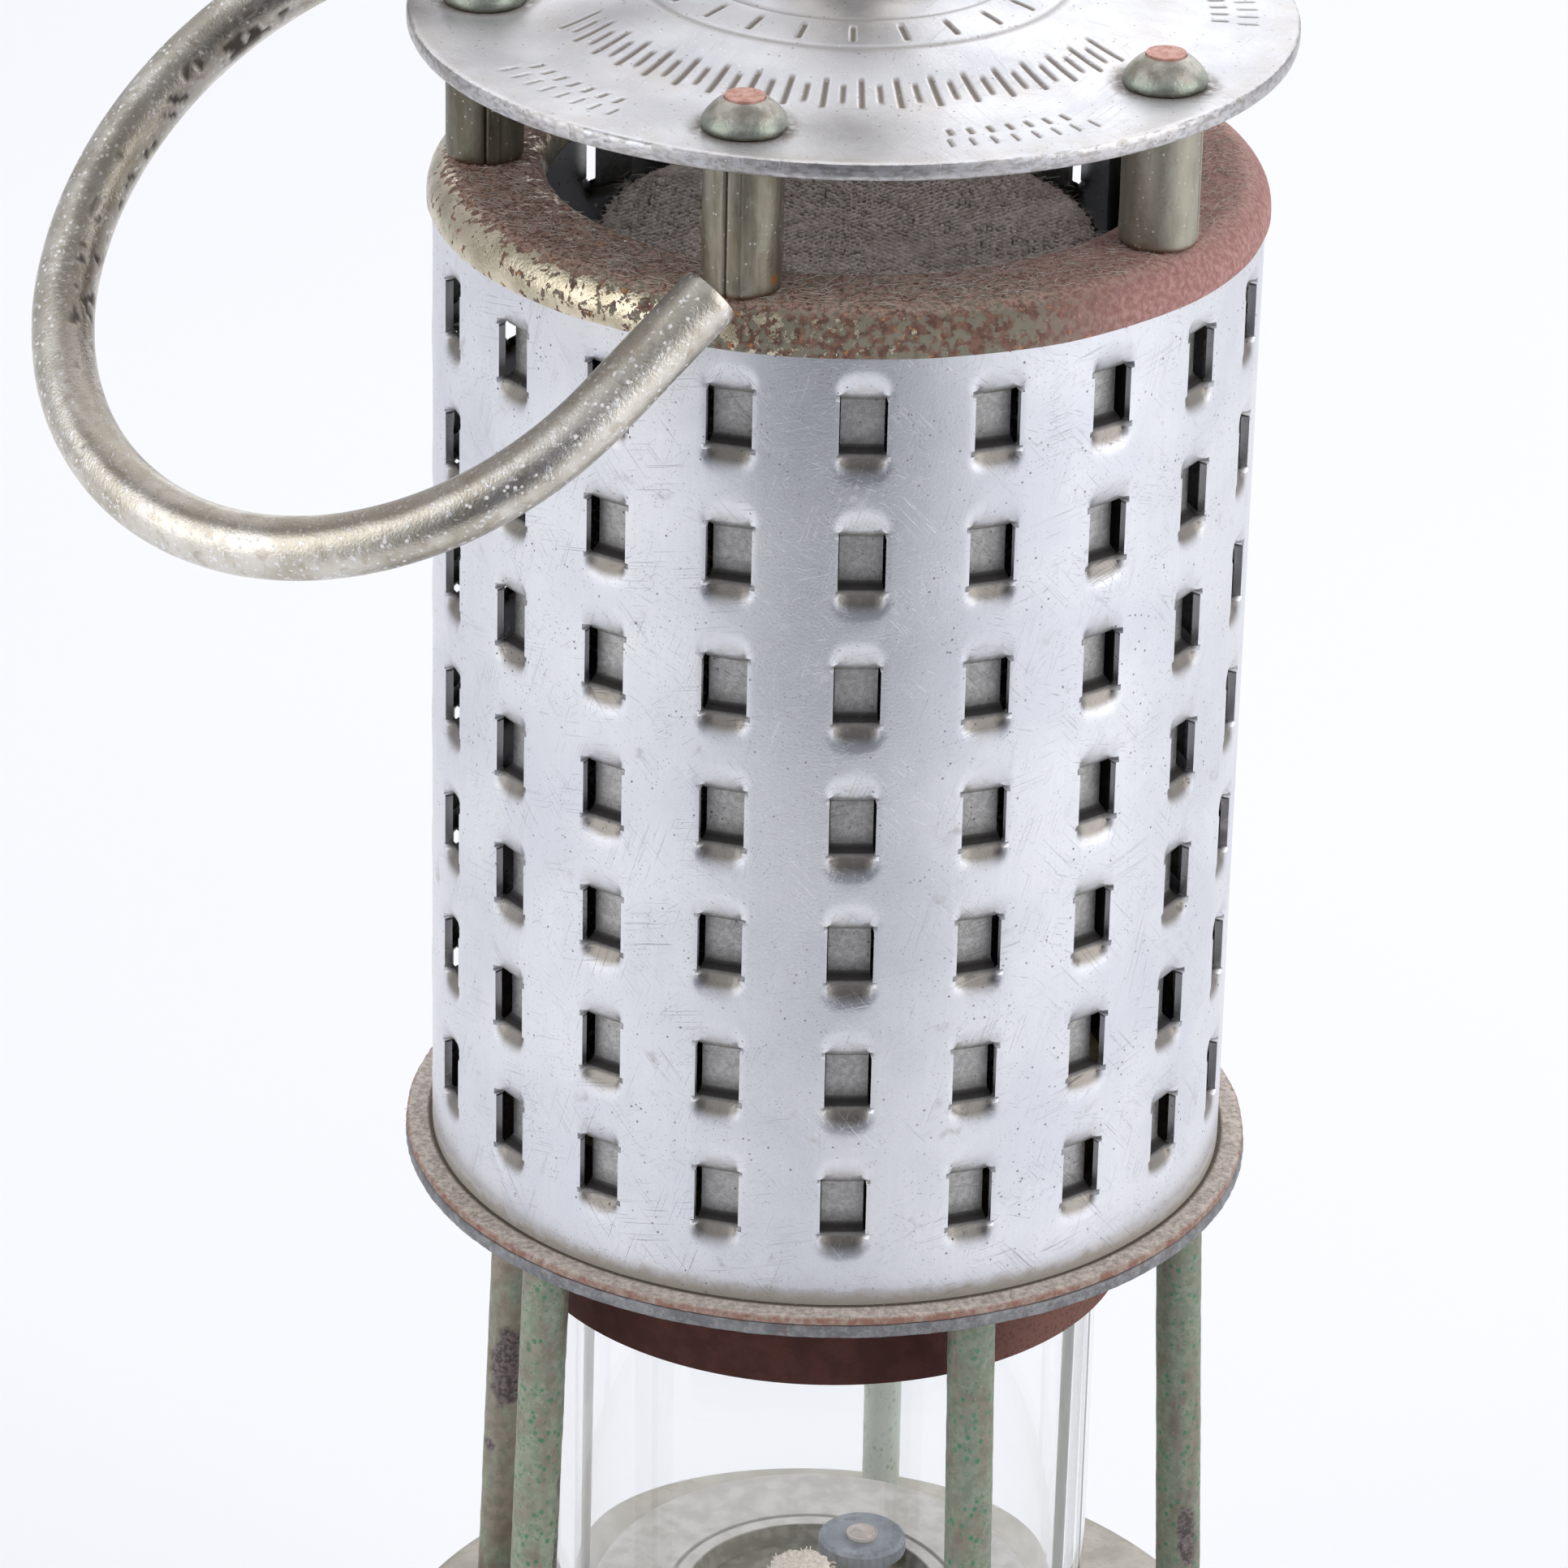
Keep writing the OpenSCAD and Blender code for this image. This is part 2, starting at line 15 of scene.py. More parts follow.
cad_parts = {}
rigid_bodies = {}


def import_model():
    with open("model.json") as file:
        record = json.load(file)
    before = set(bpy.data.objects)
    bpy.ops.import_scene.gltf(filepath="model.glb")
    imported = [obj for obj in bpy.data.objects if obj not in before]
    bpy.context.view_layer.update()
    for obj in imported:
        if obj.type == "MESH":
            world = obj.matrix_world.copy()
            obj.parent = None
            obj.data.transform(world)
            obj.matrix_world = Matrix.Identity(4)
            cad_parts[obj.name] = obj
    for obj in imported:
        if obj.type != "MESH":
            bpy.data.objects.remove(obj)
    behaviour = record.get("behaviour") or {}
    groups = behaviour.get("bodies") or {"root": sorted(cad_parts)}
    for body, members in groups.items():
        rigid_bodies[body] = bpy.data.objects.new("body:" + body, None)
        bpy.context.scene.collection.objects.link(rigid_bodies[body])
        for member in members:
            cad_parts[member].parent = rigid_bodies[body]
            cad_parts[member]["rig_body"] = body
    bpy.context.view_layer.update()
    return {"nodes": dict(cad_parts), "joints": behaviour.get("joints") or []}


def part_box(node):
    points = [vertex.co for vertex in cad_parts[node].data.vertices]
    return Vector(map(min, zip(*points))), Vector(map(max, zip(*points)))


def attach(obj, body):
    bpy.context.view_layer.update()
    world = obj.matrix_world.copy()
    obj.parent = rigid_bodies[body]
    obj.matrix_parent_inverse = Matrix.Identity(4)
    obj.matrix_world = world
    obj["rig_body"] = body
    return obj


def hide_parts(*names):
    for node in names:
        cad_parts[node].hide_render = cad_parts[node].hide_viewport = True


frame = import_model()
NODES = frame["nodes"]
MM = 0.001
PIECES = 5
PIECE_TURN = 360 / PIECES


def node_box(name):
    """Lowest and highest corner of a CAD node, in millimetres."""
    low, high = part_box(name)
    return np.array(low) / MM, np.array(high) / MM


# ---- Sizes taken from the CAD nodes ----

BONNET_LOW, BONNET_HIGH = node_box("bonnet_shell")
BONNET_R = BONNET_HIGH[0]
BONNET_Z, BONNET_TOP = BONNET_LOW[2], BONNET_HIGH[2]
RIM_LOW, RIM_HIGH = node_box("bonnet_rim")
HOOD_LOW, HOOD_HIGH = node_box("hood")
HOOD_T = 1.6
HOOD_TOP = HOOD_LOW[2] + HOOD_T
CROWN_H = HOOD_HIGH[2] - HOOD_TOP
CROWN_R, SEAT_R = 27.0, 9.0
PLATE_LOW, PLATE_HIGH = node_box("frame_plate")
FLANGE_LOW, FLANGE_HIGH = node_box("bonnet_flange")
GAUZE_LOW, GAUZE_HIGH = node_box("outer_gauze")
RING_TOP = node_box("foot_ring")[1][2]
WICK_LOW, WICK_HIGH = node_box("wick")
WHEEL_LOW, WHEEL_HIGH = node_box("striker_wheel")
PIVOT_Z = [j for j in frame["joints"] if j["name"] == "hook_tilt"][0]["pos_m"][2] / MM

# ---- Sizes that the pieces share with the CAD model ----

SHEET = 0.72
COLUMNS, ROWS = 20, 7
SLOT_PITCH = 12.2
SLOT_W = 4.0
SLIT_H = 5.1
DIMPLE_HALF_W, DIMPLE_END_Z = 2.95, 5.3
SLOT_DEPTH = 1.8
RAMP, END_DEPTH = 0.65, 0.5
BONNET_TURN = 2.9
SLOT_MID_Z = BONNET_Z + 46.15
RIM_HOLE_R = 26.3
ROD_R, ROD_TURN = 31.4, -16
TUBE_R, ROD_D = 3.4, 3.4
DOME_R = 3.65
PILLAR_R = 2.15
PILLAR_TOP_R, PILLAR_FOOT_R, PILLAR_TURN = 32.8, 35.2, 24
HOOK_R = 2.7
HOOK_TURN, HOOK_DROP = -36, 39.7
PORT_R = 19.9
GAUZE_FOOT_R, GAUZE_TOP_R = 23.1, 21.6
WICK_AT = (-1.2, -2.0)
WICK_R, WICK_OUT = 2.68, 2.6
DECK_Z = 59
DISH_R, GROOVE_R = 12.3, 13.4


# ---- Procedural finishes ----


class Finish:
    """A material built from layers; positions are in millimetres in the lamp's own frame."""

    def __init__(self, name):
        self.material = bpy.data.materials.new(name)
        self.material.use_nodes = True
        self.tree = self.material.node_tree
        self.shader = self.tree.nodes["Principled BSDF"]
        place = self.tree.nodes.new("ShaderNodeTexCoord").outputs["Object"]
        self.place = self.vector("SCALE", place, scale=1 / MM)
        self.x, self.y, self.z = self.split(self.place)
        self.r = self.math("SQRT", self.plus(self.times(self.x, self.x), self.times(self.y, self.y)))
        self.turn = self.math("ARCTAN2", self.x, self.times(self.y, -1.0))
        self.wrap = self.join(self.times(self.turn, self.r), self.z, self.r)

    def fill(self, socket, value):
        if isinstance(value, bpy.types.NodeSocket):
            self.tree.links.new(value, socket)
        else:
            socket.default_value = value

    def math(self, operation, a, b=0.0):
        node = self.tree.nodes.new("ShaderNodeMath")
        node.operation = operation
        self.fill(node.inputs[0], a)
        if node.inputs[1].enabled:
            self.fill(node.inputs[1], b)
        return node.outputs[0]

    def times(self, a, b):
        return self.math("MULTIPLY", a, b)

    def plus(self, a, b):
        return self.math("ADD", a, b)

    def vector(self, operation, a, b=(0, 0, 0), scale=1.0):
        node = self.tree.nodes.new("ShaderNodeVectorMath")
        node.operation = operation
        self.fill(node.inputs[0], a)
        if operation == "SCALE":
            self.fill(node.inputs["Scale"], scale)
        else:
            self.fill(node.inputs[1], b)
        return node.outputs[0]

    def split(self, vector):
        node = self.tree.nodes.new("ShaderNodeSeparateXYZ")
        self.fill(node.inputs[0], vector)
        return node.outputs[0], node.outputs[1], node.outputs[2]

    def join(self, x, y, z):
        node = self.tree.nodes.new("ShaderNodeCombineXYZ")
        for socket, value in zip(node.inputs, (x, y, z)):
            self.fill(socket, value)
        return node.outputs[0]

    def stretched(self, where, size, seed):
        """The place divided by one size, or by a size along each axis, and moved by the seed."""
        along = (size,) * 3 if isinstance(size, (int, float)) else size
        sizes = tuple(1 / length for length in along)
        scaled = self.vector("MULTIPLY", where, sizes)
        return self.vector("ADD", scaled, (seed * 7.3, seed * 3.1, seed))

    def grain(self, size, seed, detail=3.0, rough=0.55, where=None):
        """Smooth random values around 0.5, in patches about size across (one size or three)."""
        node = self.tree.nodes.new("ShaderNodeTexNoise")
        self.fill(node.inputs["Vector"], self.stretched(where or self.place, size, seed))
        node.inputs["Scale"].default_value = 1.0
        node.inputs["Detail"].default_value = detail
        node.inputs["Roughness"].default_value = rough
        return node.outputs[0]

    def cells(self, size, seed):
        """Distance to the nearest of many scattered points, in cells of about that size."""
        node = self.tree.nodes.new("ShaderNodeTexVoronoi")
        self.fill(node.inputs["Vector"], self.stretched(self.place, size, seed))
        node.inputs["Scale"].default_value = 1.0
        return node.outputs["Distance"]

    def step(self, value, low, high):
        """0 below low, 1 above high, smooth between; it falls instead when low is above high."""
        node = self.tree.nodes.new("ShaderNodeMapRange")
        node.interpolation_type = "SMOOTHSTEP"
        self.fill(node.inputs["Value"], value)
        rising = low <= high
        node.inputs["From Min"].default_value = min(low, high)
        node.inputs["From Max"].default_value = max(low, high)
        node.inputs["To Min"].default_value = 0.0 if rising else 1.0
        node.inputs["To Max"].default_value = 1.0 if rising else 0.0
        return node.outputs[0]

    def patches(self, size, seed, low, high, *grain):
        """Patches of random shape with soft edges, 1 where the grain is above high."""
        return self.step(self.grain(size, seed, *grain), low, high)

    def dots(self, size, seed, low, high):
        """Scattered round dots; low and high are the edge's reach in cells."""
        return self.step(self.cells(size, seed), low, high)

    def fold(self, operation, values):
        out = values[0]
        for value in values[1:]:
            out = self.math(operation, out, value)
        return out

    def all_of(self, *values):
        return self.fold("MULTIPLY", values)

    def any_of(self, *values):
        return self.fold("MAXIMUM", values)

    def span(self, value, low, high, soft):
        """1 where the value lies between low and high, with soft edges."""
        rising = self.step(value, low - soft, low + soft)
        falling = self.step(value, high + soft, high - soft)
        return self.all_of(rising, falling)

    def mix(self, share, a, b):
        """The colour a, turning into b as share goes from 0 to 1."""
        node = self.tree.nodes.new("ShaderNodeMix")
        node.data_type = "RGBA"
        self.fill(node.inputs[0], share)
        self.fill(node.inputs[6], self.with_alpha(a))
        self.fill(node.inputs[7], self.with_alpha(b))
        return node.outputs[2]

    def with_alpha(self, colour):
        return colour if isinstance(colour, bpy.types.NodeSocket) else (*colour, 1)

    def over(self, under, colour, where, share):
        """A colour laid by that share over what is under it, where the mask is 1."""
        return self.mix(self.times(where, share), under, colour)

    def blend(self, share, a, b):
        """The number a, turning into b as share goes from 0 to 1."""
        node = self.tree.nodes.new("ShaderNodeMix")
        node.data_type = "FLOAT"
        self.fill(node.inputs[0], share)
        self.fill(node.inputs[2], a)
        self.fill(node.inputs[3], b)
        return node.outputs[0]

    def weight(self, name):
        """A value that the mesh code stored at each point."""
        node = self.tree.nodes.new("ShaderNodeAttribute")
        node.attribute_name = name
        return node.outputs["Fac"]

    def bump(self, height, depth):
        """A surface relief of about that depth in millimetres."""
        node = self.tree.nodes.new("ShaderNodeBump")
        node.inputs["Distance"].default_value = depth * MM
        self.fill(node.inputs["Height"], height)
        return node.outputs[0]

    def scratches(self, where, seed, count=3, fine=0.06, length=9.0, keep=0.66):
        """Thin random strokes in several directions, 1 on a stroke."""
        strokes = []
        for k in range(count):
            angle = 0.5 + k * 2.1 + seed
            turned = self.tree.nodes.new("ShaderNodeMapping")
            self.fill(turned.inputs["Vector"], where)
            turned.inputs["Rotation"].default_value = (0, 0, angle)
            here = self.grain((fine, length, 60.0), seed + k, 2.0, 0.5, turned.outputs[0])
            there = self.grain(6.0, seed + k + 20, 1.0, 0.5, where)
            strokes.append(self.all_of(self.step(here, keep, keep + 0.06), self.step(there, 0.5, 0.62)))
        return self.any_of(*strokes)

    def done(self, colour, metallic, roughness, normal=None):
        self.fill(self.shader.inputs["Base Color"], self.with_alpha(colour))
        self.fill(self.shader.inputs["Metallic"], metallic)
        self.fill(self.shader.inputs["Roughness"], roughness)
        if normal is not None:
            self.fill(self.shader.inputs["Normal"], normal)
        return self.material


def bonnet_finish():
    """Satin aluminium: scratches, dark specks, brown smudges; the pressed strips are dull and speckled."""
    f = Finish("bonnet_aluminium")
    cloud = f.grain(14, 1)
    fine = f.grain(0.22, 2, 2.0)
    streak = f.grain((0.5, 9, 9), 3, 3.0, 0.6, f.wrap)
    scratch = f.any_of(f.scratches(f.wrap, 4), f.scratches(f.wrap, 14, 2, 0.05, 2.2, 0.68))
    specks = f.all_of(f.dots(0.9, 5, 0.16, 0.08), f.patches(5, 6, 0.44, 0.6))
    pepper = f.all_of(f.dots(0.4, 12, 0.22, 0.1), f.patches(3.2, 13, 0.4, 0.62))
    smudge = f.all_of(f.patches(2.6, 7, 0.6, 0.72), f.patches(9, 8, 0.5, 0.62))
    press = f.weight("press")
    strip = f.weight("strip")
    ramp = f.weight("ramp")
    stain = f.step(f.plus(f.z, f.times(f.grain(2.0, 9), -2.2)), BONNET_Z + 0.7, BONNET_Z - 0.7)
    base = f.mix(f.step(cloud, 0.35, 0.65), (0.74, 0.75, 0.8), (0.86, 0.865, 0.885))
    base = f.over(base, (0.62, 0.63, 0.68), streak, 0.35)
    base = f.over(base, (0.45, 0.46, 0.5), fine, 0.22)
    base = f.over(base, (0.42, 0.36, 0.28), smudge, 0.22)
    base = f.over(base, (0.36, 0.36, 0.38), scratch, 0.45)
    base = f.over(base, (0.16, 0.15, 0.15), pepper, 0.5)
    grime = f.all_of(press, f.patches(1.1, 10, 0.36, 0.6))
    base = f.over(base, (0.46, 0.39, 0.3), grime, 0.3)
    # Painted shade: dark brown in the lower dimple right below each slit, standing in for the shade under the
    # pressed strip.
    base = f.over(base, (0.22, 0.195, 0.165), f.step(f.weight("under"), 0.05, 0.55), 0.88)
    dull = f.mix(f.patches(0.5, 11, 0.4, 0.62, 3.0), (0.42, 0.41, 0.4), (0.52, 0.51, 0.5))
    dull = f.over(dull, (0.13, 0.115, 0.105), f.dots(0.2, 15, 0.3, 0.12), 0.6)
    base = f.mix(strip, base, dull)
    # Painted shade: the lower shelf of each pressed strip turns near-black, standing in for its shade and
    # dark reflection.
    base = f.over(base, (0.012, 0.009, 0.007), ramp, 0.96)
    base = f.over(base, (0.09, 0.075, 0.06), specks, 0.75)
    base = f.over(base, (0.3, 0.25, 0.18), stain, 0.75)
    rough = f.blend(strip, f.blend(fine, 0.28, 0.42), 0.5)
    rough = f.blend(f.times(press, 0.5), rough, 0.55)
    rough = f.blend(f.any_of(specks, stain, smudge, ramp), rough, 0.8)
    height = f.plus(f.times(scratch, -0.7), f.times(fine, 0.4))
    return f.done(base, f.blend(f.any_of(stain, specks, ramp), 1.0, 0.2), rough, f.bump(height, 0.03))


def hood_finish():
    """Satin aluminium disc with dirt round the domes and in the stamped marks."""
    f = Finish("hood_aluminium")
    fine = f.grain(0.25, 21, 2.0)
    cloud = f.grain(9, 22)
    scratch = f.scratches(f.place, 23, 3, 0.05, 7.0)
    specks = f.dots(1.1, 24, 0.13, 0.07)
    pale = f.dots(0.8, 25, 0.13, 0.07)
    base = f.mix(f.step(cloud, 0.35, 0.65), (0.55, 0.55, 0.58), (0.66, 0.66, 0.685))
    base = f.over(base, (0.45, 0.45, 0.47), fine, 0.25)
    base = f.over(base, (0.4, 0.4, 0.42), scratch, 0.35)
    haze = f.all_of(f.span(f.r, 24.5, 27.5, 2.2), f.patches(5, 26, 0.4, 0.65))
    base = f.over(base, (0.5, 0.42, 0.33), haze, 0.3)
    outer = f.all_of(f.step(f.r, HOOD_HIGH[0] - 3.5, HOOD_HIGH[0] - 0.8), f.patches(2.4, 28, 0.35, 0.6))
    base = f.over(base, (0.45, 0.38, 0.3), outer, 0.25)
    rim = f.step(f.r, HOOD_HIGH[0] - 0.35, HOOD_HIGH[0] - 0.15)
    scuff = f.all_of(rim, f.patches((0.9, 0.9, 0.4), 29, 0.45, 0.6))
    base = f.over(base, (0.3, 0.28, 0.26), scuff, 0.6)
    dirt = f.all_of(f.weight("dirt"), f.patches(0.9, 27, 0.25, 0.6))
    base = f.over(base, (0.2, 0.155, 0.11), dirt, 0.85)
    base = f.over(base, (0.24, 0.19, 0.14), f.weight("stamp"), 0.8)
    base = f.over(base, (0.2, 0.17, 0.14), specks, 0.6)
    base = f.over(base, (0.85, 0.86, 0.88), pale, 0.5)
    rough = f.blend(f.any_of(dirt, f.weight("stamp")), f.blend(fine, 0.3, 0.48), 0.75)
    height = f.plus(f.times(scratch, -0.6), f.times(fine, 0.5))
    return f.done(base, f.blend(dirt, 1.0, 0.35), rough, f.bump(height, 0.03))


def rim_finish():
    """Warm brass plating on the left, eaten by rust in spots at the front left and wholly on the right."""
    f = Finish("rim_steel")
    east = f.math("SINE", f.turn)
    south = f.math("COSINE", f.turn)
    worn = f.plus(f.times(east, 0.36), f.times(f.times(east, east), 0.13))
    worn = f.plus(worn, 0.04)
    on_top = f.step(f.z, RIM_HIGH[2] - 1.0, RIM_HIGH[2] - 0.1)
    worn = f.plus(worn, f.times(on_top, 0.2))
    spots = f.grain(0.95, 31, 3.0, 0.65)
    rust = f.step(f.plus(spots, worn), 0.4, 0.45)
    plating = f.mix(f.patches(3, 32, 0.35, 0.65), (0.48, 0.43, 0.31), (0.7, 0.62, 0.48))
    brown = f.mix(f.patches(0.8, 33, 0.35, 0.65), (0.1, 0.048, 0.034), (0.19, 0.1, 0.07))
    brown = f.mix(f.patches(0.8, 34, 0.6, 0.7), brown, (0.45, 0.19, 0.07))
    full = f.mix(f.patches(0.5, 35, 0.35, 0.7, 4.0), (0.3, 0.14, 0.12), (0.46, 0.25, 0.23))
    olive = f.all_of(f.step(south, 0.55, 0.9), f.patches(0.9, 39, 0.44, 0.56, 4.0))
    brown = f.mix(f.times(olive, 0.8), brown, (0.2, 0.2, 0.15))
    brown = f.mix(f.step(east, 0.35, 0.75), brown, full)
    base = f.mix(rust, plating, brown)
    dust = f.all_of(on_top, f.patches(0.4, 36, 0.4, 0.6, 4.0, 0.7))
    base = f.over(base, (0.54, 0.37, 0.3), dust, 0.75)
    white = f.dots(0.7, 37, 0.1, 0.05)
    base = f.over(base, (0.62, 0.55, 0.5), white, 0.6)
    rough = f.blend(rust, 0.24, 0.82)
    height = f.plus(f.times(rust, 0.6), f.times(f.grain(0.3, 38, 4.0), 0.8))
    return f.done(base, f.blend(f.any_of(rust, dust), 1.0, 0.0), rough, f.bump(height, 0.09))


def felt_finish(name, seed, pale, dark):
    """Wire gauze matted with dust and lint."""
    f = Finish(name)
    tuft = f.grain(0.45, seed, 4.0, 0.7)
    cloud = f.grain(5, seed + 1)
    base = f.mix(f.step(tuft, 0.36, 0.64), dark, pale)
    base = f.over(base, (0.25, 0.17, 0.13), f.step(cloud, 0.4, 0.65), 0.15)
    # Painted shade: near-black in the open holes of the weave, where the dark inside of the gauze would show.
    base = f.mix(f.weight("pit"), base, (0.03, 0.024, 0.021))
    return f.done(base, 0.0, 0.95, f.bump(tuft, 0.25))


def wire_finish():
    """Dark oxidised gauze wire with dust on it."""
    f = Finish("gauze_wire")
    dust = f.patches(0.9, 45, 0.45, 0.65, 4.0)
    base = f.mix(dust, (0.07, 0.062, 0.056), (0.24, 0.21, 0.18))
    return f.done(base, f.blend(dust, 0.8, 0.0), 0.7)


def tube_finish():
    """Olive grey tarnish with white specks."""
    f = Finish("tube_metal")
    cloud = f.grain((1.2, 1.2, 5), 51, 4.0)
    specks = f.dots(0.75, 52, 0.17, 0.09)
    stroke = f.scratches(f.place, 53, 2, 0.05, 5.0)
    base = f.mix(f.step(cloud, 0.35, 0.65), (0.2, 0.18, 0.135), (0.31, 0.285, 0.225))
    base = f.over(base, (0.3, 0.32, 0.24), f.patches(1.6, 54, 0.55, 0.7), 0.5)
    east = f.math("SINE", f.turn)
    # Painted shade on the tube at the left, which lies in the hood's shadow, and painted light on the tubes
    # turned to the right, where the light comes from.
    base = f.over(base, (0.05, 0.045, 0.035), f.step(east, -0.4, -0.95), 0.45)
    base = f.over(base, (0.55, 0.52, 0.44), f.step(east, 0.4, 0.85), 0.35)
    base = f.over(base, (0.6, 0.6, 0.56), specks, 0.55)
    base = f.over(base, (0.5, 0.5, 0.46), stroke, 0.4)
    base = f.mix(f.step(f.z, RIM_HIGH[2] + 0.5, RIM_HIGH[2]), base, (0.16, 0.09, 0.06))
    base = f.mix(f.weight("seam"), base, (0.05, 0.04, 0.03))
    base = f.mix(f.weight("chip"), base, (0.5, 0.2, 0.07))
    rough = f.blend(f.grain(0.6, 55), 0.3, 0.55)
    return f.done(base, f.blend(specks, 0.85, 0.0), rough, f.bump(f.grain(0.35, 56, 3.0), 0.03))


def dome_finish():
    """Grey green patina over dark metal."""
    f = Finish("dome_metal")
    patina = f.grain(1.6, 61, 4.0, 0.6)
    base = f.mix(f.step(patina, 0.35, 0.65), (0.3, 0.28, 0.24), (0.5, 0.475, 0.42))
    low = f.step(f.plus(f.z, f.times(f.grain(1.3, 62), -1.6)), HOOD_TOP + 1.0, HOOD_TOP)
    base = f.over(base, (0.26, 0.31, 0.26), low, 0.7)
    base = f.mix(f.step(f.z, HOOD_TOP + 0.5, HOOD_TOP), base, (0.13, 0.115, 0.085))
    base = f.over(base, (0.6, 0.6, 0.57), f.dots(0.5, 63, 0.16, 0.08), 0.5)
    rough = f.blend(patina, 0.28, 0.5)
    return f.done(base, 0.85, rough, f.bump(f.grain(0.4, 64, 4.0), 0.05))


def copper_finish():
    """Dull reddish copper."""
    f = Finish("rod_copper")
    cloud = f.grain(0.8, 71, 4.0)
    base = f.mix(f.step(cloud, 0.35, 0.65), (0.46, 0.22, 0.17), (0.62, 0.36, 0.3))
    base = f.over(base, (0.16, 0.09, 0.07), f.patches(0.5, 72, 0.6, 0.7), 0.6)
    base = f.mix(f.step(f.z, HOOD_TOP - 1, HOOD_TOP - 2), base, (0.03, 0.027, 0.024))
    return f.done(base, 0.35, 0.55, f.bump(f.grain(0.3, 73, 3.0), 0.03))


def flange_finish():
    """Steel under beige dust, with a rusted outer edge."""
    f = Finish("flange_steel")
    lint = f.grain(0.5, 81, 4.0, 0.65)
    base = f.mix(f.step(lint, 0.35, 0.65), (0.39, 0.335, 0.295), (0.64, 0.565, 0.5))
    edge = f.step(f.plus(f.r, f.times(f.grain(1.2, 82), 0.4)), FLANGE_HIGH[0] - 0.2, FLANGE_HIGH[0] + 0.15)
    base = f.mix(edge, base, f.mix(f.patches(0.9, 83, 0.45, 0.62), (0.27, 0.135, 0.1), (0.34, 0.26, 0.21)))
    base = f.mix(f.step(f.r, BONNET_R + 0.5, BONNET_R + 0.1), base, (0.1, 0.08, 0.06))
    base = f.over(base, (0.66, 0.6, 0.54), f.dots(0.5, 84, 0.16, 0.08), 0.5)
    return f.done(base, 0.15, 0.85, f.bump(lint, 0.12))


def plate_finish():
    """Dull zinc grey with a rough pale edge."""
    f = Finish("zinc_plate")
    streak = f.grain((0.6, 0.6, 0.9), 86, 4.0, 0.7, f.wrap)
    base = f.mix(f.patches(2.0, 87, 0.4, 0.62), (0.17, 0.17, 0.18), (0.24, 0.24, 0.25))
    rough_edge = f.all_of(f.step(f.r, PLATE_HIGH[0] - 0.5, PLATE_HIGH[0] - 0.1), f.step(streak, 0.47, 0.62))
    base = f.over(base, (0.45, 0.45, 0.46), rough_edge, 0.35)
    base = f.over(base, (0.2, 0.13, 0.1), f.patches(1.4, 88, 0.62, 0.72), 0.5)
    return f.done(base, 0.6, f.blend(streak, 0.4, 0.7), f.bump(streak, 0.07))


def holder_finish():
    """Dark maroon rust, matt; its darkness is partly painted shade under the plate's overhang, and the right
    side is painted lighter as light falling from the right.
    """
    f = Finish("rusted_steel")
    patch = f.grain(2.6, 91, 4.0)
    # Painted shade: very dark base colours for the shade under the frame plate's overhang.
    base = f.mix(f.step(patch, 0.35, 0.65), (0.05, 0.017, 0.014), (0.075, 0.026, 0.02))
    # Painted light: lighter on the right side, as if lit from the right.
    base = f.over(base, (0.2, 0.095, 0.075), f.step(f.math("SINE", f.turn), 0.3, 0.8), 0.85)
    base = f.over(base, (0.04, 0.022, 0.02), f.patches(0.4, 92, 0.5, 0.68, 4.0), 0.5)
    f.shader.inputs["Specular IOR Level"].default_value = 0.2
    return f.done(base, 0.0, 0.8, f.bump(f.grain(0.3, 93, 4.0), 0.06))


def pillar_finish(name, seed, tan, pale, deep):
    """Sage green and tan patina with emerald spots: how brown it is, how much painted light (pale) and how
    much painted shade (deep) it takes, each 0 to 1.
    """
    f = Finish(name)
    blotch = f.grain((1.8, 1.8, 4.5), seed, 3.0, 0.6)
    green = f.mix(f.patches(0.7, seed + 1, 0.38, 0.64), (0.225, 0.265, 0.19), (0.3, 0.335, 0.25))
    brown = f.mix(f.patches(1.1, seed + 2, 0.38, 0.64), (0.22, 0.19, 0.145), (0.29, 0.255, 0.2))
    base = f.mix(f.step(blotch, 0.42 - 0.1 * tan, 0.66 - 0.1 * tan), green, brown)
    # Painted light: pale lifts a pillar that stands in shade towards light green-grey.
    base = f.mix(0.75 * pale, base, (0.66, 0.72, 0.64))
    # Painted shade: deep darkens a pillar towards near-black.
    base = f.mix(deep, base, (0.03, 0.035, 0.025))
    here = f.patches(3.2, seed + 4, 0.38, 0.56)
    spots = f.all_of(f.dots((0.8, 0.8, 0.95), seed + 3, 0.36, 0.2), here)
    spots = f.any_of(spots, f.all_of(f.dots(0.45, seed + 8, 0.28, 0.16), f.patches(2, seed + 9, 0.42, 0.6)))
    base = f.over(base, (0.03, 0.2, 0.095), spots, (0.8 - 0.7 * tan) * (1 - 0.5 * pale))
    scar = f.mix(f.patches(0.5, seed + 5, 0.4, 0.6), (0.065, 0.05, 0.05), (0.17, 0.135, 0.13))
    base = f.mix(f.weight("chip"), base, scar)
    base = f.over(base, (0.62, 0.66, 0.6), f.dots(0.6, seed + 6, 0.13, 0.07), 0.35)
    height = f.plus(f.grain(0.5, seed + 7, 3.0), f.times(spots, -0.3))
    return f.done(base, 0.2, f.blend(f.weight("chip"), 0.55, 0.42), f.bump(height, 0.04))


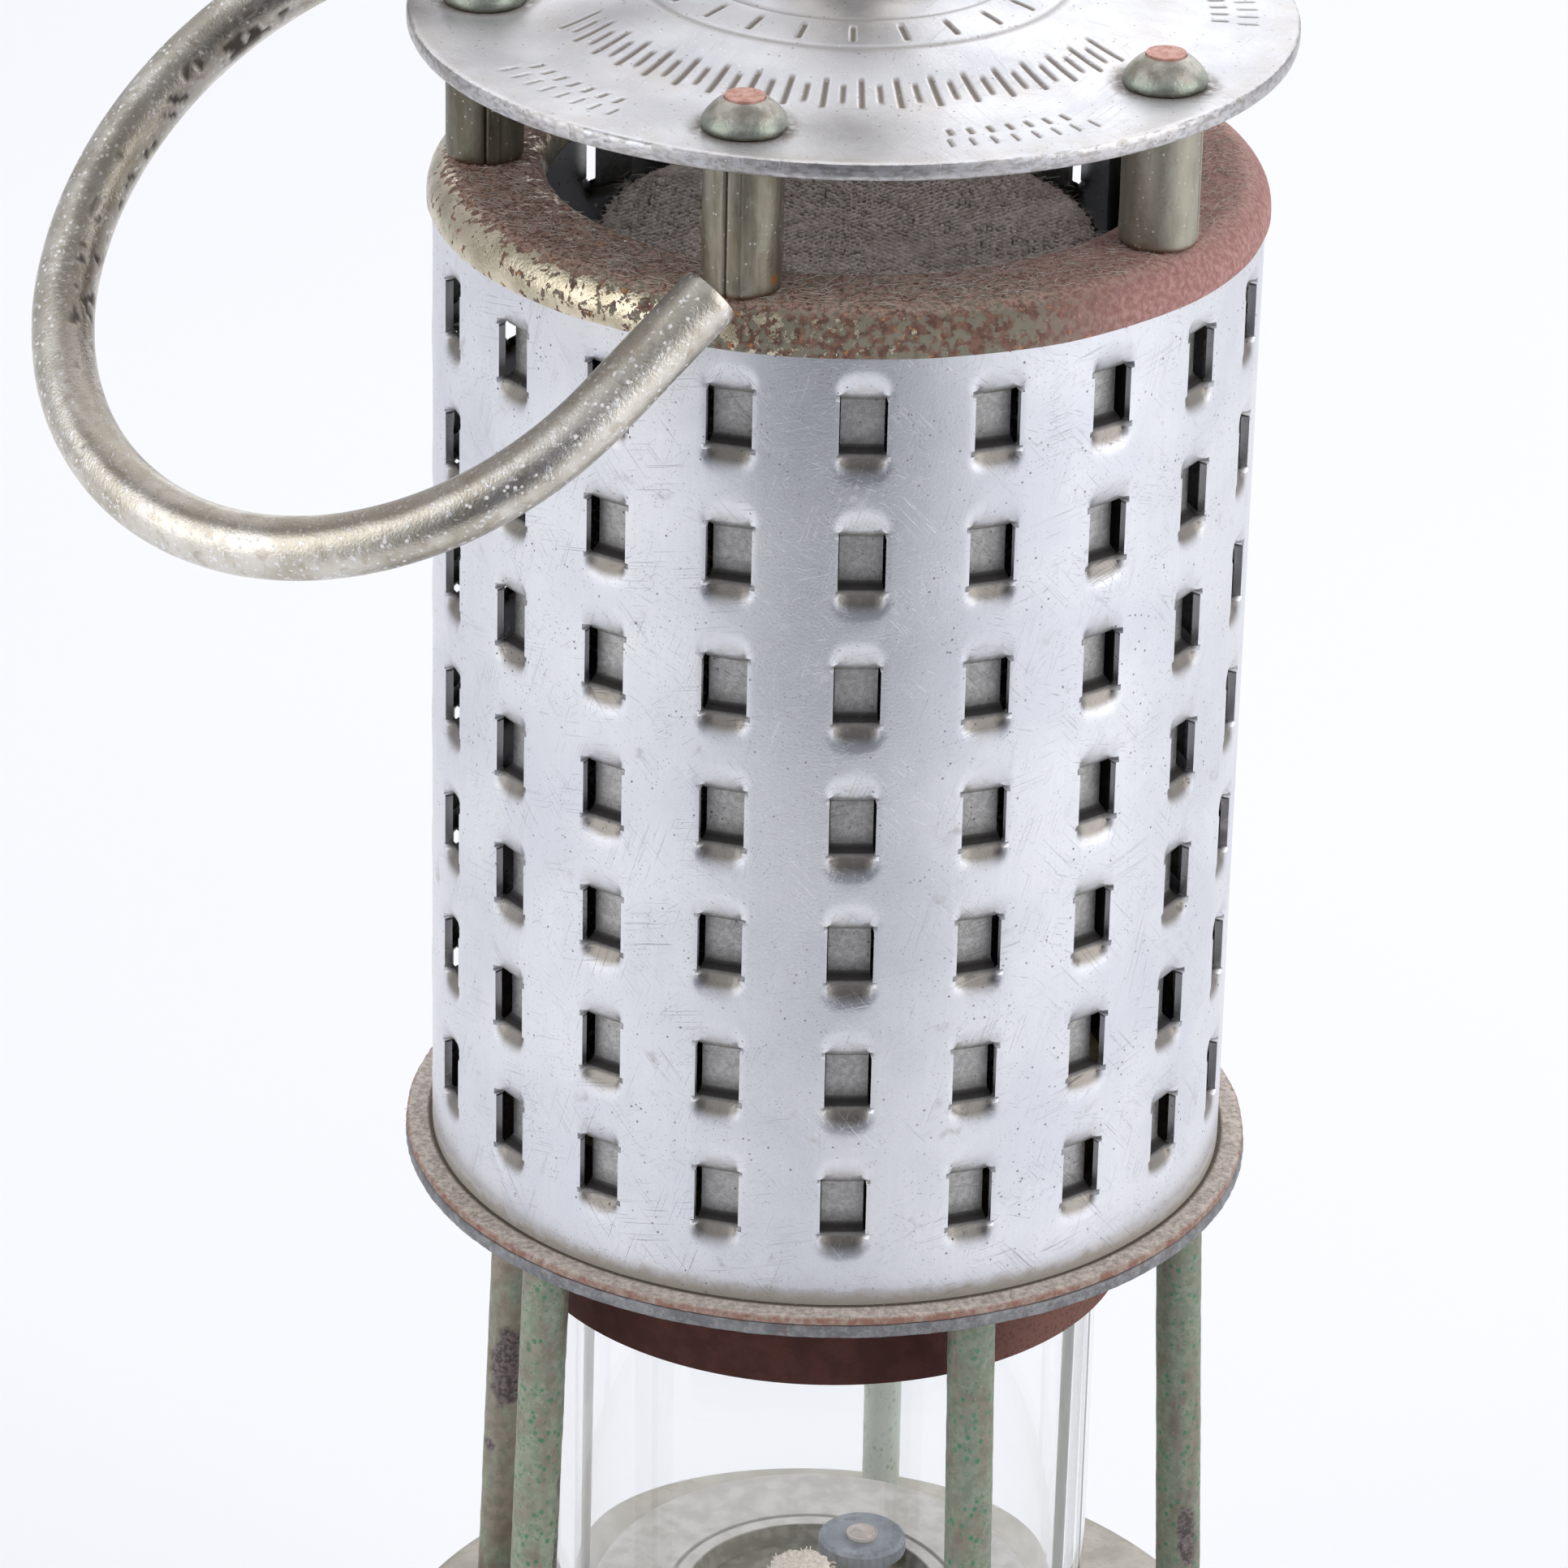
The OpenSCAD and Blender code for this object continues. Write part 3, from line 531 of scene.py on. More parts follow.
def hook_finish():
    """Warm worn nickel: pale specks, brown haze and dark pits where the weight hung."""
    f = Finish("hook_steel")
    haze = f.grain(5, 101, 4.0)
    pale = f.dots(0.8, 102, 0.26, 0.14)
    flecks = f.all_of(f.patches(0.5, 103, 0.6, 0.64, 2.0), f.patches(2.5, 108, 0.4, 0.55))
    stroke = f.scratches(f.place, 104, 3, 0.06, 4.0)
    base = f.mix(f.step(haze, 0.35, 0.65), (0.52, 0.48, 0.4), (0.73, 0.69, 0.63))
    base = f.over(base, (0.36, 0.31, 0.24), f.patches(1.2, 105, 0.52, 0.68, 4.0), 0.45)
    base = f.over(base, (0.9, 0.9, 0.92), f.any_of(pale, flecks), 0.75)
    base = f.over(base, (0.3, 0.28, 0.25), stroke, 0.3)
    # Painted shade: a dark brown streak along the rod's shaded side, standing in for its shade and dark
    # reflection.
    base = f.over(base, (0.17, 0.14, 0.11), f.weight("painted_dark_side"), 0.65)
    base = f.mix(f.weight("pit"), base, (0.07, 0.055, 0.045))
    rough = f.blend(f.any_of(f.weight("pit"), pale), f.blend(f.grain(0.5, 106), 0.24, 0.42), 0.7)
    height = f.plus(f.times(flecks, 0.5), f.grain(0.25, 107, 3.0))
    metallic = f.blend(f.any_of(f.weight("pit"), f.times(pale, 0.7)), 1.0, 0.2)
    return f.done(base, metallic, rough, f.bump(height, 0.04))


def worn_metal(name, seed, dark, light, rough=(0.3, 0.5), metallic=0.9, stain=(0.25, 0.2, 0.14)):
    """A plain worn metal: two tones, stains, scratches and pits."""
    f = Finish(name)
    base = f.mix(f.patches(4, seed, 0.35, 0.65, 4.0), dark, light)
    base = f.over(base, stain, f.patches(1.8, seed + 1, 0.55, 0.7, 4.0), 0.55)
    stroke = f.scratches(f.place, seed + 2, 2, 0.05, 6.0)
    base = f.over(base, light, stroke, 0.4)
    specks = f.dots(0.9, seed + 3, 0.14, 0.07)
    base = f.over(base, stain, specks, 0.6)
    height = f.plus(f.grain(0.3, seed + 4, 3.0), f.times(stroke, -0.7))
    return f.done(base, metallic, f.blend(f.grain(0.7, seed + 5), *rough), f.bump(height, 0.03))


def vessel_finish():
    """Spun aluminium outside with turning marks; pale dull deck, and a brass-tinged dish whose darker tone is
    partly painted shade in the recess.
    """
    f = Finish("vessel_aluminium")
    rings = f.grain((60, 60, 0.35), 121, 3.0)
    base = f.mix(f.patches(9, 122, 0.35, 0.65, 4.0), (0.5, 0.5, 0.5), (0.66, 0.66, 0.67))
    base = f.over(base, (0.42, 0.42, 0.43), rings, 0.4)
    scratch = f.scratches(f.wrap, 123, 3, 0.06, 8.0)
    base = f.over(base, (0.34, 0.33, 0.32), scratch, 0.5)
    smudge = f.patches(2.4, 124, 0.58, 0.72, 4.0)
    base = f.over(base, (0.36, 0.31, 0.25), smudge, 0.45)
    deck = f.step(f.z, DECK_Z - 1, DECK_Z)
    soot = f.mix(f.patches(2.2, 125, 0.35, 0.65, 4.0), (0.55, 0.53, 0.5), (0.67, 0.65, 0.62))
    dish = f.step(f.r, DISH_R, 11.9)
    # The dish's darker colours are partly its own brass tint and partly painted shade in the recess round the
    # wick.
    soot = f.mix(dish, soot, f.mix(f.patches(1.4, 126, 0.4, 0.65), (0.18, 0.165, 0.115), (0.29, 0.275, 0.21)))
    groove = f.span(f.r, GROOVE_R, 13.9, 0.15)
    soot = f.over(soot, (0.3, 0.27, 0.22), groove, 0.25)
    base = f.mix(deck, base, soot)
    rough = f.blend(deck, f.blend(f.any_of(smudge, scratch), 0.34, 0.5), 0.62)
    height = f.plus(f.times(rings, 0.5), f.times(scratch, -0.5))
    return f.done(base, f.blend(deck, 1.0, 0.45), rough, f.bump(height, 0.04))


def glass_finish():
    """Clear lamp glass with faint streaks."""
    f = Finish("lamp_glass")
    f.shader.inputs["Transmission Weight"].default_value = 1.0
    f.shader.inputs["IOR"].default_value = 1.47
    smear = f.patches((2.5, 2.5, 14), 131, 0.5, 0.75, 3.0)
    return f.done((0.985, 0.992, 0.995), 0.0, f.blend(smear, 0.0, 0.05))


def soft_finish(name, seed, dark, light, size=0.6, relief=0.2, rough=0.9):
    """Cotton, fibre or rubber: matt with a fine grain."""
    f = Finish(name)
    grain = f.grain(size, seed, 4.0, 0.65)
    base = f.mix(f.step(grain, 0.35, 0.65), dark, light)
    base = f.over(base, dark, f.patches(3, seed + 1, 0.5, 0.7), 0.3)
    return f.done(base, 0.0, rough, f.bump(grain, relief))


def floor_finish():
    """Pale, faintly clouded table."""
    f = Finish("studio_floor")
    base = f.mix(f.grain(260, 141, 2.0), (0.84, 0.84, 0.86), (0.87, 0.87, 0.885))
    return f.done(base, 0.0, 0.7)


FINISH = {
    "bonnet": bonnet_finish(),
    "hood": hood_finish(),
    "rim": rim_finish(),
    # The felt's near-white colours are partly its pale lint and partly painted light, brightening the gauze
    # top that lies in the hood's shade.
    "felt": felt_finish("gauze_felt", 40, (0.98, 0.9, 0.85), (0.68, 0.58, 0.53)),
    "wire": wire_finish(),
    "tube": tube_finish(),
    "dome": dome_finish(),
    "copper": copper_finish(),
    "flange": flange_finish(),
    "plate": plate_finish(),
    "holder": holder_finish(),
    "hook": hook_finish(),
    "vessel": vessel_finish(),
    "glass": glass_finish(),
    "brass": worn_metal("fitting_brass", 151, (0.36, 0.28, 0.13), (0.55, 0.44, 0.22),
                        stain=(0.16, 0.12, 0.07)),
    "spindle": worn_metal("spindle_steel", 161, (0.36, 0.36, 0.36), (0.5, 0.5, 0.5)),
    "striker": worn_metal("striker_steel", 171, (0.2, 0.215, 0.25), (0.32, 0.34, 0.385), (0.45, 0.6), 0.5,
                          (0.09, 0.09, 0.1)),
    "rivet": worn_metal("striker_rivet", 181, (0.42, 0.34, 0.3), (0.6, 0.52, 0.48), (0.4, 0.6), 0.4),
    "foot": worn_metal("foot_ring_metal", 191, (0.34, 0.315, 0.27), (0.42, 0.395, 0.35), (0.42, 0.6), 0.7,
                       (0.31, 0.28, 0.225)),
    "base": worn_metal("base_aluminium", 201, (0.42, 0.42, 0.42), (0.6, 0.6, 0.6), (0.35, 0.55)),
    "rubber": soft_finish("seal_rubber", 211, (0.03, 0.028, 0.026), (0.07, 0.066, 0.06), 0.5, 0.05, 0.6),
    "gasket": soft_finish("glass_gasket", 221, (0.28, 0.22, 0.16), (0.46, 0.39, 0.3)),
    "cotton": soft_finish("cotton", 231, (0.6, 0.56, 0.48), (0.78, 0.75, 0.68), 1.2, 0.5),
    "wick": soft_finish("wick_cotton", 241, (0.68, 0.58, 0.48), (0.92, 0.85, 0.76), 0.35, 0.15),
    "lint": soft_finish("lint_fibre", 251, (0.4, 0.34, 0.29), (0.66, 0.6, 0.54), 2.0, 0.02),
    "floor": floor_finish(),
}

NODES_IN = {
    "brass": "filler_cap wick_tube wick_raiser wick_knob striker_knob flint_holder gauze_ring",
    "spindle": "wick_screw wick_guide striker_spindle striker_guide",
    "striker": "striker_wheel striker_seat flint",
    "rubber": "bottom_seal filler_gasket frame_seal",
    "gasket": "lower_gasket upper_gasket",
    "hook": "swivel_stud swivel_nut hook hook_washer",
    "vessel": "vessel", "base": "bottom_plate", "cotton": "cotton_packing", "wick": "wick",
    "foot": "foot_ring", "glass": "glass", "holder": "glass_holder", "plate": "frame_plate",
    "flange": "bonnet_flange", "bonnet": "bonnet_shell", "rim": "bonnet_rim", "felt": "outer_gauze",
    "wire": "inner_gauze", "hood": "hood",
}
NODE_FINISH = {node: finish for finish, nodes in NODES_IN.items() for node in nodes.split()}
for number in range(1, PIECES + 1):
    NODE_FINISH[f"tie_rod_{number}"] = "copper"
    NODE_FINISH[f"distance_tube_{number}"] = "tube"
    NODE_FINISH[f"dome_washer_{number}"] = "dome"
    NODE_FINISH[f"pillar_{number}"] = "foot"

BODY_OF = {name: piece["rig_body"] for name, piece in NODES.items()}


def finish_cad_nodes():
    for name, piece in NODES.items():
        piece.data.materials.clear()
        piece.data.materials.append(FINISH[NODE_FINISH[name]])


# ---- Mesh helpers ----


def make_piece(name, points, faces, finish, node, weights=None, sharp=40, keep_node=False):
    """A mesh piece in millimetres that rides on the node's body, takes the given finish and, unless the node
    is kept, stands for it.
    """
    mesh = bpy.data.meshes.new(name)
    mesh.from_pydata([tuple(p) for p in np.asarray(points, float) * MM], [], faces)
    mesh.validate()
    for label, values in (weights or {}).items():
        layer = mesh.attributes.new(label, "FLOAT", "POINT")
        layer.data.foreach_set("value", np.asarray(values, np.float32))
    mesh.materials.append(finish)
    mesh.shade_smooth()
    mesh.set_sharp_from_angle(angle=math.radians(sharp))
    piece = bpy.data.objects.new(name, mesh)
    bpy.context.scene.collection.objects.link(piece)
    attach(piece, BODY_OF[node])
    if not keep_node:
        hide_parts(node)
    return piece


def at_turn(radius, degrees, z):
    """A point at a radius and a turn counted from the front."""
    a = np.radians(degrees)
    return np.stack(np.broadcast_arrays(radius * np.sin(a), -radius * np.cos(a), z), -1)


def arc(cx, cz, radius, a0, a1, steps):
    """Profile points along an arc, from angle a0 to a1 in degrees."""
    return [(cx + radius * math.cos(math.radians(a)), cz + radius * math.sin(math.radians(a)))
            for a in np.linspace(a0, a1, steps + 1)]


def loop_faces(around, across, closed_across=True):
    """Quads of a grid that closes on itself around the axis and, when asked, across the profile."""
    faces = []
    for i in range(around):
        j = (i + 1) % around
        for k in range(across if closed_across else across - 1):
            m = (k + 1) % across
            faces.append((i * across + k, j * across + k, j * across + m, i * across + m))
    return faces


def revolve(profile, steps):
    """Points of a closed profile of (radius, z) turned about the axis, as an array (steps, profile, 3)."""
    turns = np.linspace(0, 360, steps, endpoint=False)[:, None]
    r = np.array([p[0] for p in profile])[None, :]
    z = np.array([p[1] for p in profile])[None, :]
    return at_turn(r, turns, z + 0 * turns)


def off_axis(points):
    return np.hypot(points[:, 0], points[:, 1])


def turn_of(points):
    return np.degrees(np.arctan2(points[:, 0], -points[:, 1]))


def push_out(points, change):
    """Moves points away from the axis, each by its own change."""
    points[:, :2] *= (1 + change / off_axis(points))[:, None]


def smooth_step(value, low, high):
    t = np.clip((np.asarray(value, float) - low) / (high - low), 0, 1)
    return t * t * (3 - 2 * t)


def rough_field(points, size, seed):
    """Smooth random values from -1 to 1 at each point."""
    shift = Vector((seed * 17.3, seed * 5.1, seed * 9.7))
    return np.array([noise.noise(Vector(p) / size + shift) for p in np.asarray(points).reshape(-1, 3)])


def spaced_profile(a, b, steps):
    """Profile points evenly from a to b, both included."""
    return [(a[0] + (b[0] - a[0]) * k / steps, a[1] + (b[1] - a[1]) * k / steps) for k in range(steps + 1)]


def tube_faces(rings, sides):
    """Faces of a closed tube: quads between its rings of points, and a cap at either end."""
    faces = []
    for i in range(rings - 1):
        for k in range(sides):
            m = (k + 1) % sides
            faces.append((i * sides + k, i * sides + m, (i + 1) * sides + m, (i + 1) * sides + k))
    faces.append(tuple(range(sides))[::-1])
    faces.append(tuple((rings - 1) * sides + k for k in range(sides)))
    return faces


def wire(path, radius, sides):
    """Points and faces of a thin closed tube along a path of points."""
    path = np.asarray(path, float)
    n = len(path)
    ahead = np.gradient(path, axis=0)
    ahead /= np.linalg.norm(ahead, axis=1)[:, None]
    ref = np.array([0, 0, 1.0]) if abs(ahead[0][2]) < 0.8 else np.array([1.0, 0, 0])
    side = np.cross(ahead, ref)
    side /= np.linalg.norm(side, axis=1)[:, None]
    lift = np.cross(side, ahead)
    points = []
    for k in range(sides):
        a = 2 * math.pi * k / sides
        points.append(path + (side * math.cos(a) + lift * math.sin(a)) * radius)
    points = np.stack(points, 1).reshape(-1, 3)
    return points, tube_faces(n, sides)


class Bundle:
    """Many small closed pieces gathered into one mesh."""

    def __init__(self):
        self.points, self.faces, self.count = [], [], 0

    def add(self, points, faces):
        self.points.append(points)
        self.faces += [tuple(i + self.count for i in face) for face in faces]
        self.count += len(points)

    def all_points(self):
        return np.concatenate(self.points)


# ---- Bonnet ----


def spaced(stops, counts):
    """Values that run through the stops, with that many intervals in each stretch."""
    values = [stops[0]]
    for a, b, n in zip(stops, stops[1:], counts):
        values += list(np.linspace(a, b, n + 1)[1:])
    return values


def press_depth(x, z, deep):
    """How far the sheet is pressed in at x, z from a slot's centre."""
    half_w, half_h = SLOT_W / 2, SLIT_H / 2
    outline = half_w + 0.55
    shoulder = 2.7
    beyond = abs(z) - half_h
    if beyond <= 0:
        if abs(x) > half_w + 1e-6:
            return 0.0
        return deep * (1.0 - (1.0 - END_DEPTH) * float(smooth_step(beyond, -RAMP, 0.0)))
    e = abs(x) / outline
    if e >= 1:
        return 0.0
    reach = shoulder * math.sqrt(1 - e ** 2.6)
    t = beyond / max(reach, 1e-6)
    if t >= 1:
        return 0.0
    if abs(x) < half_w - 0.3:
        side = 1.0
    else:
        side = float(smooth_step(beyond, 0.0, 0.9)) * (1 - e ** 4) + 0.35 * (1 - e)
    return deep * END_DEPTH * (1 - t) ** 1.7 * (1 - e ** 5) * side


def nearest(values, target):
    """Where in a list the value stands that is closest to the target."""
    return min(range(len(values)), key=lambda i: abs(values[i] - target))


def cell_lines():
    """Grid lines across and up one slot's cell, from its centre; the last is left to the next cell."""
    half_w, half_h = SLOT_W / 2, SLIT_H / 2
    cell = 2 * math.pi * BONNET_R / COLUMNS
    corner = 0.4
    xs = spaced([-cell / 2, -DIMPLE_HALF_W, -half_w, -half_w + corner, half_w - corner, half_w, DIMPLE_HALF_W,
                 cell / 2], [2, 3, 1, 5, 1, 3, 2])
    zs = spaced([-SLOT_PITCH / 2, -DIMPLE_END_Z, -half_h, -half_h + RAMP, half_h - RAMP, half_h, DIMPLE_END_Z,
                 SLOT_PITCH / 2], [1, 7, 4, 3, 4, 7, 1])
    return xs[:-1], zs[:-1]


def sheet_rows(zs):
    """All rows of points up the sheet: (row of slots, line in its cell, height), None in plain bands."""
    low_z = SLOT_MID_Z - ROWS / 2 * SLOT_PITCH
    rows = [(None, None, z) for z in np.linspace(BONNET_Z + 0.02, low_z, 4)[:-1]]
    for row in range(ROWS):
        middle = SLOT_MID_Z + (row - (ROWS - 1) / 2) * SLOT_PITCH
        rows += [(row, k, middle + zs[k]) for k in range(len(zs))]
    rows += [(None, None, z) for z in np.linspace(low_z + ROWS * SLOT_PITCH, BONNET_TOP - 0.02, 4)]
    return rows


def build_bonnet():
    """The slotted sheet: each strip between two slits is pressed inwards, with a dimple at either end."""
    half_w, half_h = SLOT_W / 2, SLIT_H / 2
    xs, zs = cell_lines()
    left, right = nearest(xs, -half_w), nearest(xs, half_w)
    bottom, top = nearest(zs, -half_h), nearest(zs, half_h)
    nx = len(xs)
    rows = sheet_rows(zs)
    draw = random.Random(7)
    depth_of = [[SLOT_DEPTH * draw.uniform(0.93, 1.05) for _ in range(ROWS)] for _ in range(COLUMNS)]
    shift_of = [[(draw.uniform(-0.12, 0.12), draw.uniform(-0.1, 0.1)) for _ in range(ROWS)]
                for _ in range(COLUMNS)]
    points, press, under, strip, ramp, index = [], [], [], [], [], {}

    def corner(column, i, r, on_strip):
        """Number of the point there; a slit's edge has one point on the strip and one beside it."""
        if i == nx:
            column, i = (column + 1) % COLUMNS, 0
        row, k, z = rows[r]
        in_slit = row is not None and bottom < k < top
        side = on_strip if (in_slit and i in (left, right)) else None
        key = (column, i, r, side)
        if key in index:
            return index[key]
        x, dz, depth, share, dull, shelf_shade_share = xs[i], 0.0, 0.0, 0.0, 0.0, 0.0
        if row is not None:
            deep = depth_of[column][row]
            depth = press_depth(x, zs[k], deep)
            if in_slit and i in (left, right) and not on_strip:
                depth = 0.04
            share = depth / deep
            inside = in_slit and left <= i <= right and not (i in (left, right) and not on_strip)
            dull = 1.0 if inside or (left <= i <= right and k in (bottom, top)) else 0.0
            beyond = abs(zs[k]) - half_h
            # Marks the lower end of the strip, which the bonnet finish paints near-black as shade.
            shelf_shade_share = dull * float(smooth_step(beyond, -1.3 * RAMP, -0.6 * RAMP)) * (zs[k] < 0)
            if on_strip and i in (left, right):
                x *= 0.96
            if abs(x) < 3.4:
                x += shift_of[column][row][0]
            if abs(zs[k]) < 5:
                dz = shift_of[column][row][1]
        turn = BONNET_TURN + 360 / COLUMNS * column + math.degrees(x / BONNET_R)
        place = at_turn(1.0, turn, 0.0)
        wave = 0.13 * noise.noise(Vector((place[0] * 2.2, place[1] * 2.2, z / 30))) - 0.1
        radius = BONNET_R - depth + min(wave, 0)
        points.append(at_turn(radius, turn, z + dz))
        press.append(min(share * 2.6, 1.0))
        # The under weight marks the lower dimple below each slit, which gets painted shade.
        under.append(press[-1] if row is not None and k < bottom else 0.0)
        strip.append(dull)
        ramp.append(shelf_shade_share)
        index[key] = len(points) - 1
        return index[key]

    faces = []
    for column in range(COLUMNS):
        for r in range(len(rows) - 1):
            for i in range(nx):
                on_strip = left <= i < right
                around = ((i, r), (i + 1, r), (i + 1, r + 1), (i, r + 1))
                faces.append(tuple(corner(column, across, up, on_strip) for across, up in around))
    piece = make_piece("bonnet", points, faces, FINISH["bonnet"], "bonnet_shell",
                       {"press": press, "under": under, "strip": strip, "ramp": ramp}, 60)
    solid = piece.modifiers.new("sheet", "SOLIDIFY")
    solid.thickness = SHEET * MM
    solid.offset = -1
    apply_modifiers(piece)
    piece.data.set_sharp_from_angle(angle=math.radians(38))
    return piece


def apply_modifiers(piece):
    """Turns what the modifiers make into the piece's own mesh."""
    graph = bpy.context.evaluated_depsgraph_get()
    shown = piece.evaluated_get(graph)
    made = bpy.data.meshes.new_from_object(shown, preserve_all_data_layers=True, depsgraph=graph)
    piece.modifiers.clear()
    piece.data = made


# ---- Rim, gauze and lint ----


def build_rim():
    """Rolled cap with a rounded corner and a turned-down inner lip, slightly uneven."""
    r, top, low, t = RIM_HIGH[0] - 0.06, RIM_HIGH[2] - 0.04, RIM_LOW[2], 0.45
    corner, lip = 3.0, 1.2
    hole = RIM_HOLE_R
    outer = [(r - 0.15, low), (r, low + 0.35)] + arc(r - corner, top - corner, corner, 0, 90, 12)
    outer += spaced_profile((r - corner, top), (hole + lip, top), 6)[1:-1]
    outer += arc(hole + lip, top - lip, lip, 90, 180, 6) + [(hole, top - 2.9)]
    inner = [(hole + t, top - 2.9)] + arc(hole + lip, top - lip, lip - t, 180, 90, 3)
    inner += arc(r - corner, top - corner, corner - t, 90, 0, 8) + [(r - t, low)]
    profile = outer + inner
    steps = 240
    flat = revolve(profile, steps).reshape(-1, 3)
    radial = flat.copy()
    radial[:, 2] = 0
    radial /= np.linalg.norm(radial, axis=1)[:, None]
    flat += radial * (0.05 * rough_field(flat, 7, 3) - 0.05)[:, None]
    flat[:, 2] += 0.06 * rough_field(flat, 6, 4) - 0.06
    faces = loop_faces(steps, len(profile))
    return make_piece("rim", flat, faces, FINISH["rim"], "bonnet_rim", sharp=50)


def build_gauze():
    """Woven wire side of the outer gauze and its felted, pitted top."""
    bundle = Bundle()
    pitch, thick = 1.25, 0.22
    foot_r, top_r = GAUZE_FOOT_R, GAUZE_TOP_R
    z0, z1 = GAUZE_LOW[2] + 0.3, GAUZE_HIGH[2] - 0.5
    columns = 116
    levels = int((z1 - z0) / pitch)
    zs = np.linspace(z0, z1, levels * 2 + 1)
    for c in range(columns):
        side = 1 if c % 2 == 0 else -1
        weave = thick * 0.55 * side * (np.arange(len(zs)) % 2 == 0)
        radius = foot_r + (top_r - foot_r) * (zs - z0) / (z1 - z0) + weave - 0.2
        bundle.add(*wire(at_turn(radius, 360 / columns * c, zs), thick, 3))
    for level in range(levels):
        z = z0 + (level + 0.5) * (z1 - z0) / levels
        radius = foot_r + (top_r - foot_r) * (z - z0) / (z1 - z0) - 0.2
        turns = np.linspace(0, 360, columns + 1)
        bundle.add(*wire(at_turn(radius, turns, z), thick, 3))
    make_piece("gauze_side", bundle.all_points(), bundle.faces, FINISH["wire"], "outer_gauze", sharp=80)
    build_gauze_top(top_r + 0.05)


def build_gauze_top(edge_r):
    """The gauze's flat top: a weave clogged with lint, pitted where the holes still show."""
    step = 0.24
    n = int(edge_r / step)
    rings = np.linspace(0.4, edge_r, n)
    around = 540
    turns = np.linspace(0, 360, around, endpoint=False)[:, None]
    grid = at_turn(rings[None, :], turns, GAUZE_HIGH[2] + 0 * turns)
    flat = grid.reshape(-1, 3)
    pitch = 0.9
    weave = np.cos(flat[:, 0] * 2 * math.pi / pitch) * np.cos(flat[:, 1] * 2 * math.pi / pitch)
    lump = rough_field(flat, 0.55, 11) + 0.6 * rough_field(flat, 1.7, 12)
    open_hole = smooth_step(weave + 0.7 * lump, 0.05, 0.4)
    open_hole *= 0.35 + 0.65 * smooth_step(rough_field(flat, 4.5, 13), -0.6, 0.0)
    height = 0.16 * lump - 0.42 * open_hole - 0.28
    height -= 0.5 * smooth_step(np.linalg.norm(flat[:, :2], axis=1), edge_r - 1.2, edge_r)
    flat[:, 2] += height
    faces = loop_faces(around, n, closed_across=False)
    under = flat.copy()
    under[:, 2] = GAUZE_HIGH[2] - 1.5
    count = len(flat)
    faces += [tuple(i + count for i in reversed(face)) for face in faces]
    for i in range(around):
        j = (i + 1) % around
        faces.append((i * n + n - 1, j * n + n - 1, count + j * n + n - 1, count + i * n + n - 1)[::-1])
        faces.append((i * n, j * n, count + j * n, count + i * n))
    points = np.concatenate([flat, under])
    # pit marks the open holes of the weave, which the felt finish paints near-black as shade.
    pit = np.concatenate([open_hole, np.zeros(count)])
    return make_piece("gauze_top", points, faces, FINISH["felt"], "outer_gauze", {"pit": pit}, 80,
                      keep_node=True)


def build_lint():
    """Fine pale fibres lying on the rim's top, the gauze and the flange."""
    draw = random.Random(21)
    bundle = Bundle()
    spots = [(2600, RIM_HOLE_R + 0.3, RIM_HIGH[0] - 2.2, RIM_HIGH[2] - 0.03),
             (1500, 1.0, 22.0, GAUZE_HIGH[2] + 0.02),
             (700, BONNET_R + 0.3, FLANGE_HIGH[0] - 0.2, FLANGE_HIGH[2] + 0.03)]
    for count, low, high, z in spots:
        for _ in range(count):
            radius = math.sqrt(draw.uniform(low * low, high * high))
            turn = draw.uniform(0, 360)
            start = at_turn(radius, turn, z)
            heading = draw.uniform(0, 2 * math.pi)
            curl = draw.uniform(-1.6, 1.6)
            length = draw.uniform(0.5, 2.2) if high < BONNET_R + 1.5 else draw.uniform(0.3, 0.9)
            path = [start]
            for _ in range(4):
                heading += curl * 0.4 + draw.uniform(-0.3, 0.3)
                path.append(path[-1] + np.array([math.cos(heading), math.sin(heading), 0]) * length / 4)
            path = np.array(path)
            path[:, 2] += 0.12 * np.sin(np.linspace(0, math.pi, 5)) * draw.random()
            off = np.linalg.norm(path[:, :2], axis=1)
            if off.max() > high + 0.4 or off.min() < low:
                continue
            bundle.add(*wire(path, 0.022, 3))
    return make_piece("lint", bundle.all_points(), bundle.faces, FINISH["lint"], "bonnet_rim", sharp=80,
                      keep_node=True)


# ---- Hood ----


def stamp_marks(x, y):
    """Depth share of the stamped marks: rings of plain strokes and dots, and two fine circles."""
    r = np.hypot(x, y)
    turn = np.degrees(np.arctan2(x, -y))
    deep = np.zeros_like(r)

    def strokes(radius, length, width, spacing, low, high):
        """Radial strokes of that length and width, every spacing degrees from turn low to high."""
        nonlocal deep
        local = (turn - low) / spacing
        nearest = np.round(local)
        inside = (nearest >= 0) & (nearest <= (high - low) / spacing)
        across = np.abs(local - nearest) * spacing * math.pi / 180 * r
        along = np.abs(r - radius)
        mark = smooth_step(-across, -width, -width * 0.35)
        mark *= smooth_step(-along, -length / 2 - 0.15, -length / 2)
        deep = np.maximum(deep, mark * inside)

    for start in range(-60, 300, 72):
        strokes(33.6, 1.5, 0.26, 3.2, start + 2, start + 26)
        strokes(31.2, 1.3, 0.26, 3.2, start + 3, start + 25)
    strokes(24.5, 3.4, 0.34, 7.2, -70, 60)
    strokes(24.5, 2.0, 0.3, 7.2, -66.4, 56)
    strokes(24.5, 3.4, 0.34, 7.2, 110, 240)
    for radius in (14.0, 18.6):
        deep = np.maximum(deep, 0.5 * smooth_step(-np.abs(r - radius), -0.3, -0.1))
    strokes(16.3, 2.2, 0.34, 15, -90, 255)
    return deep


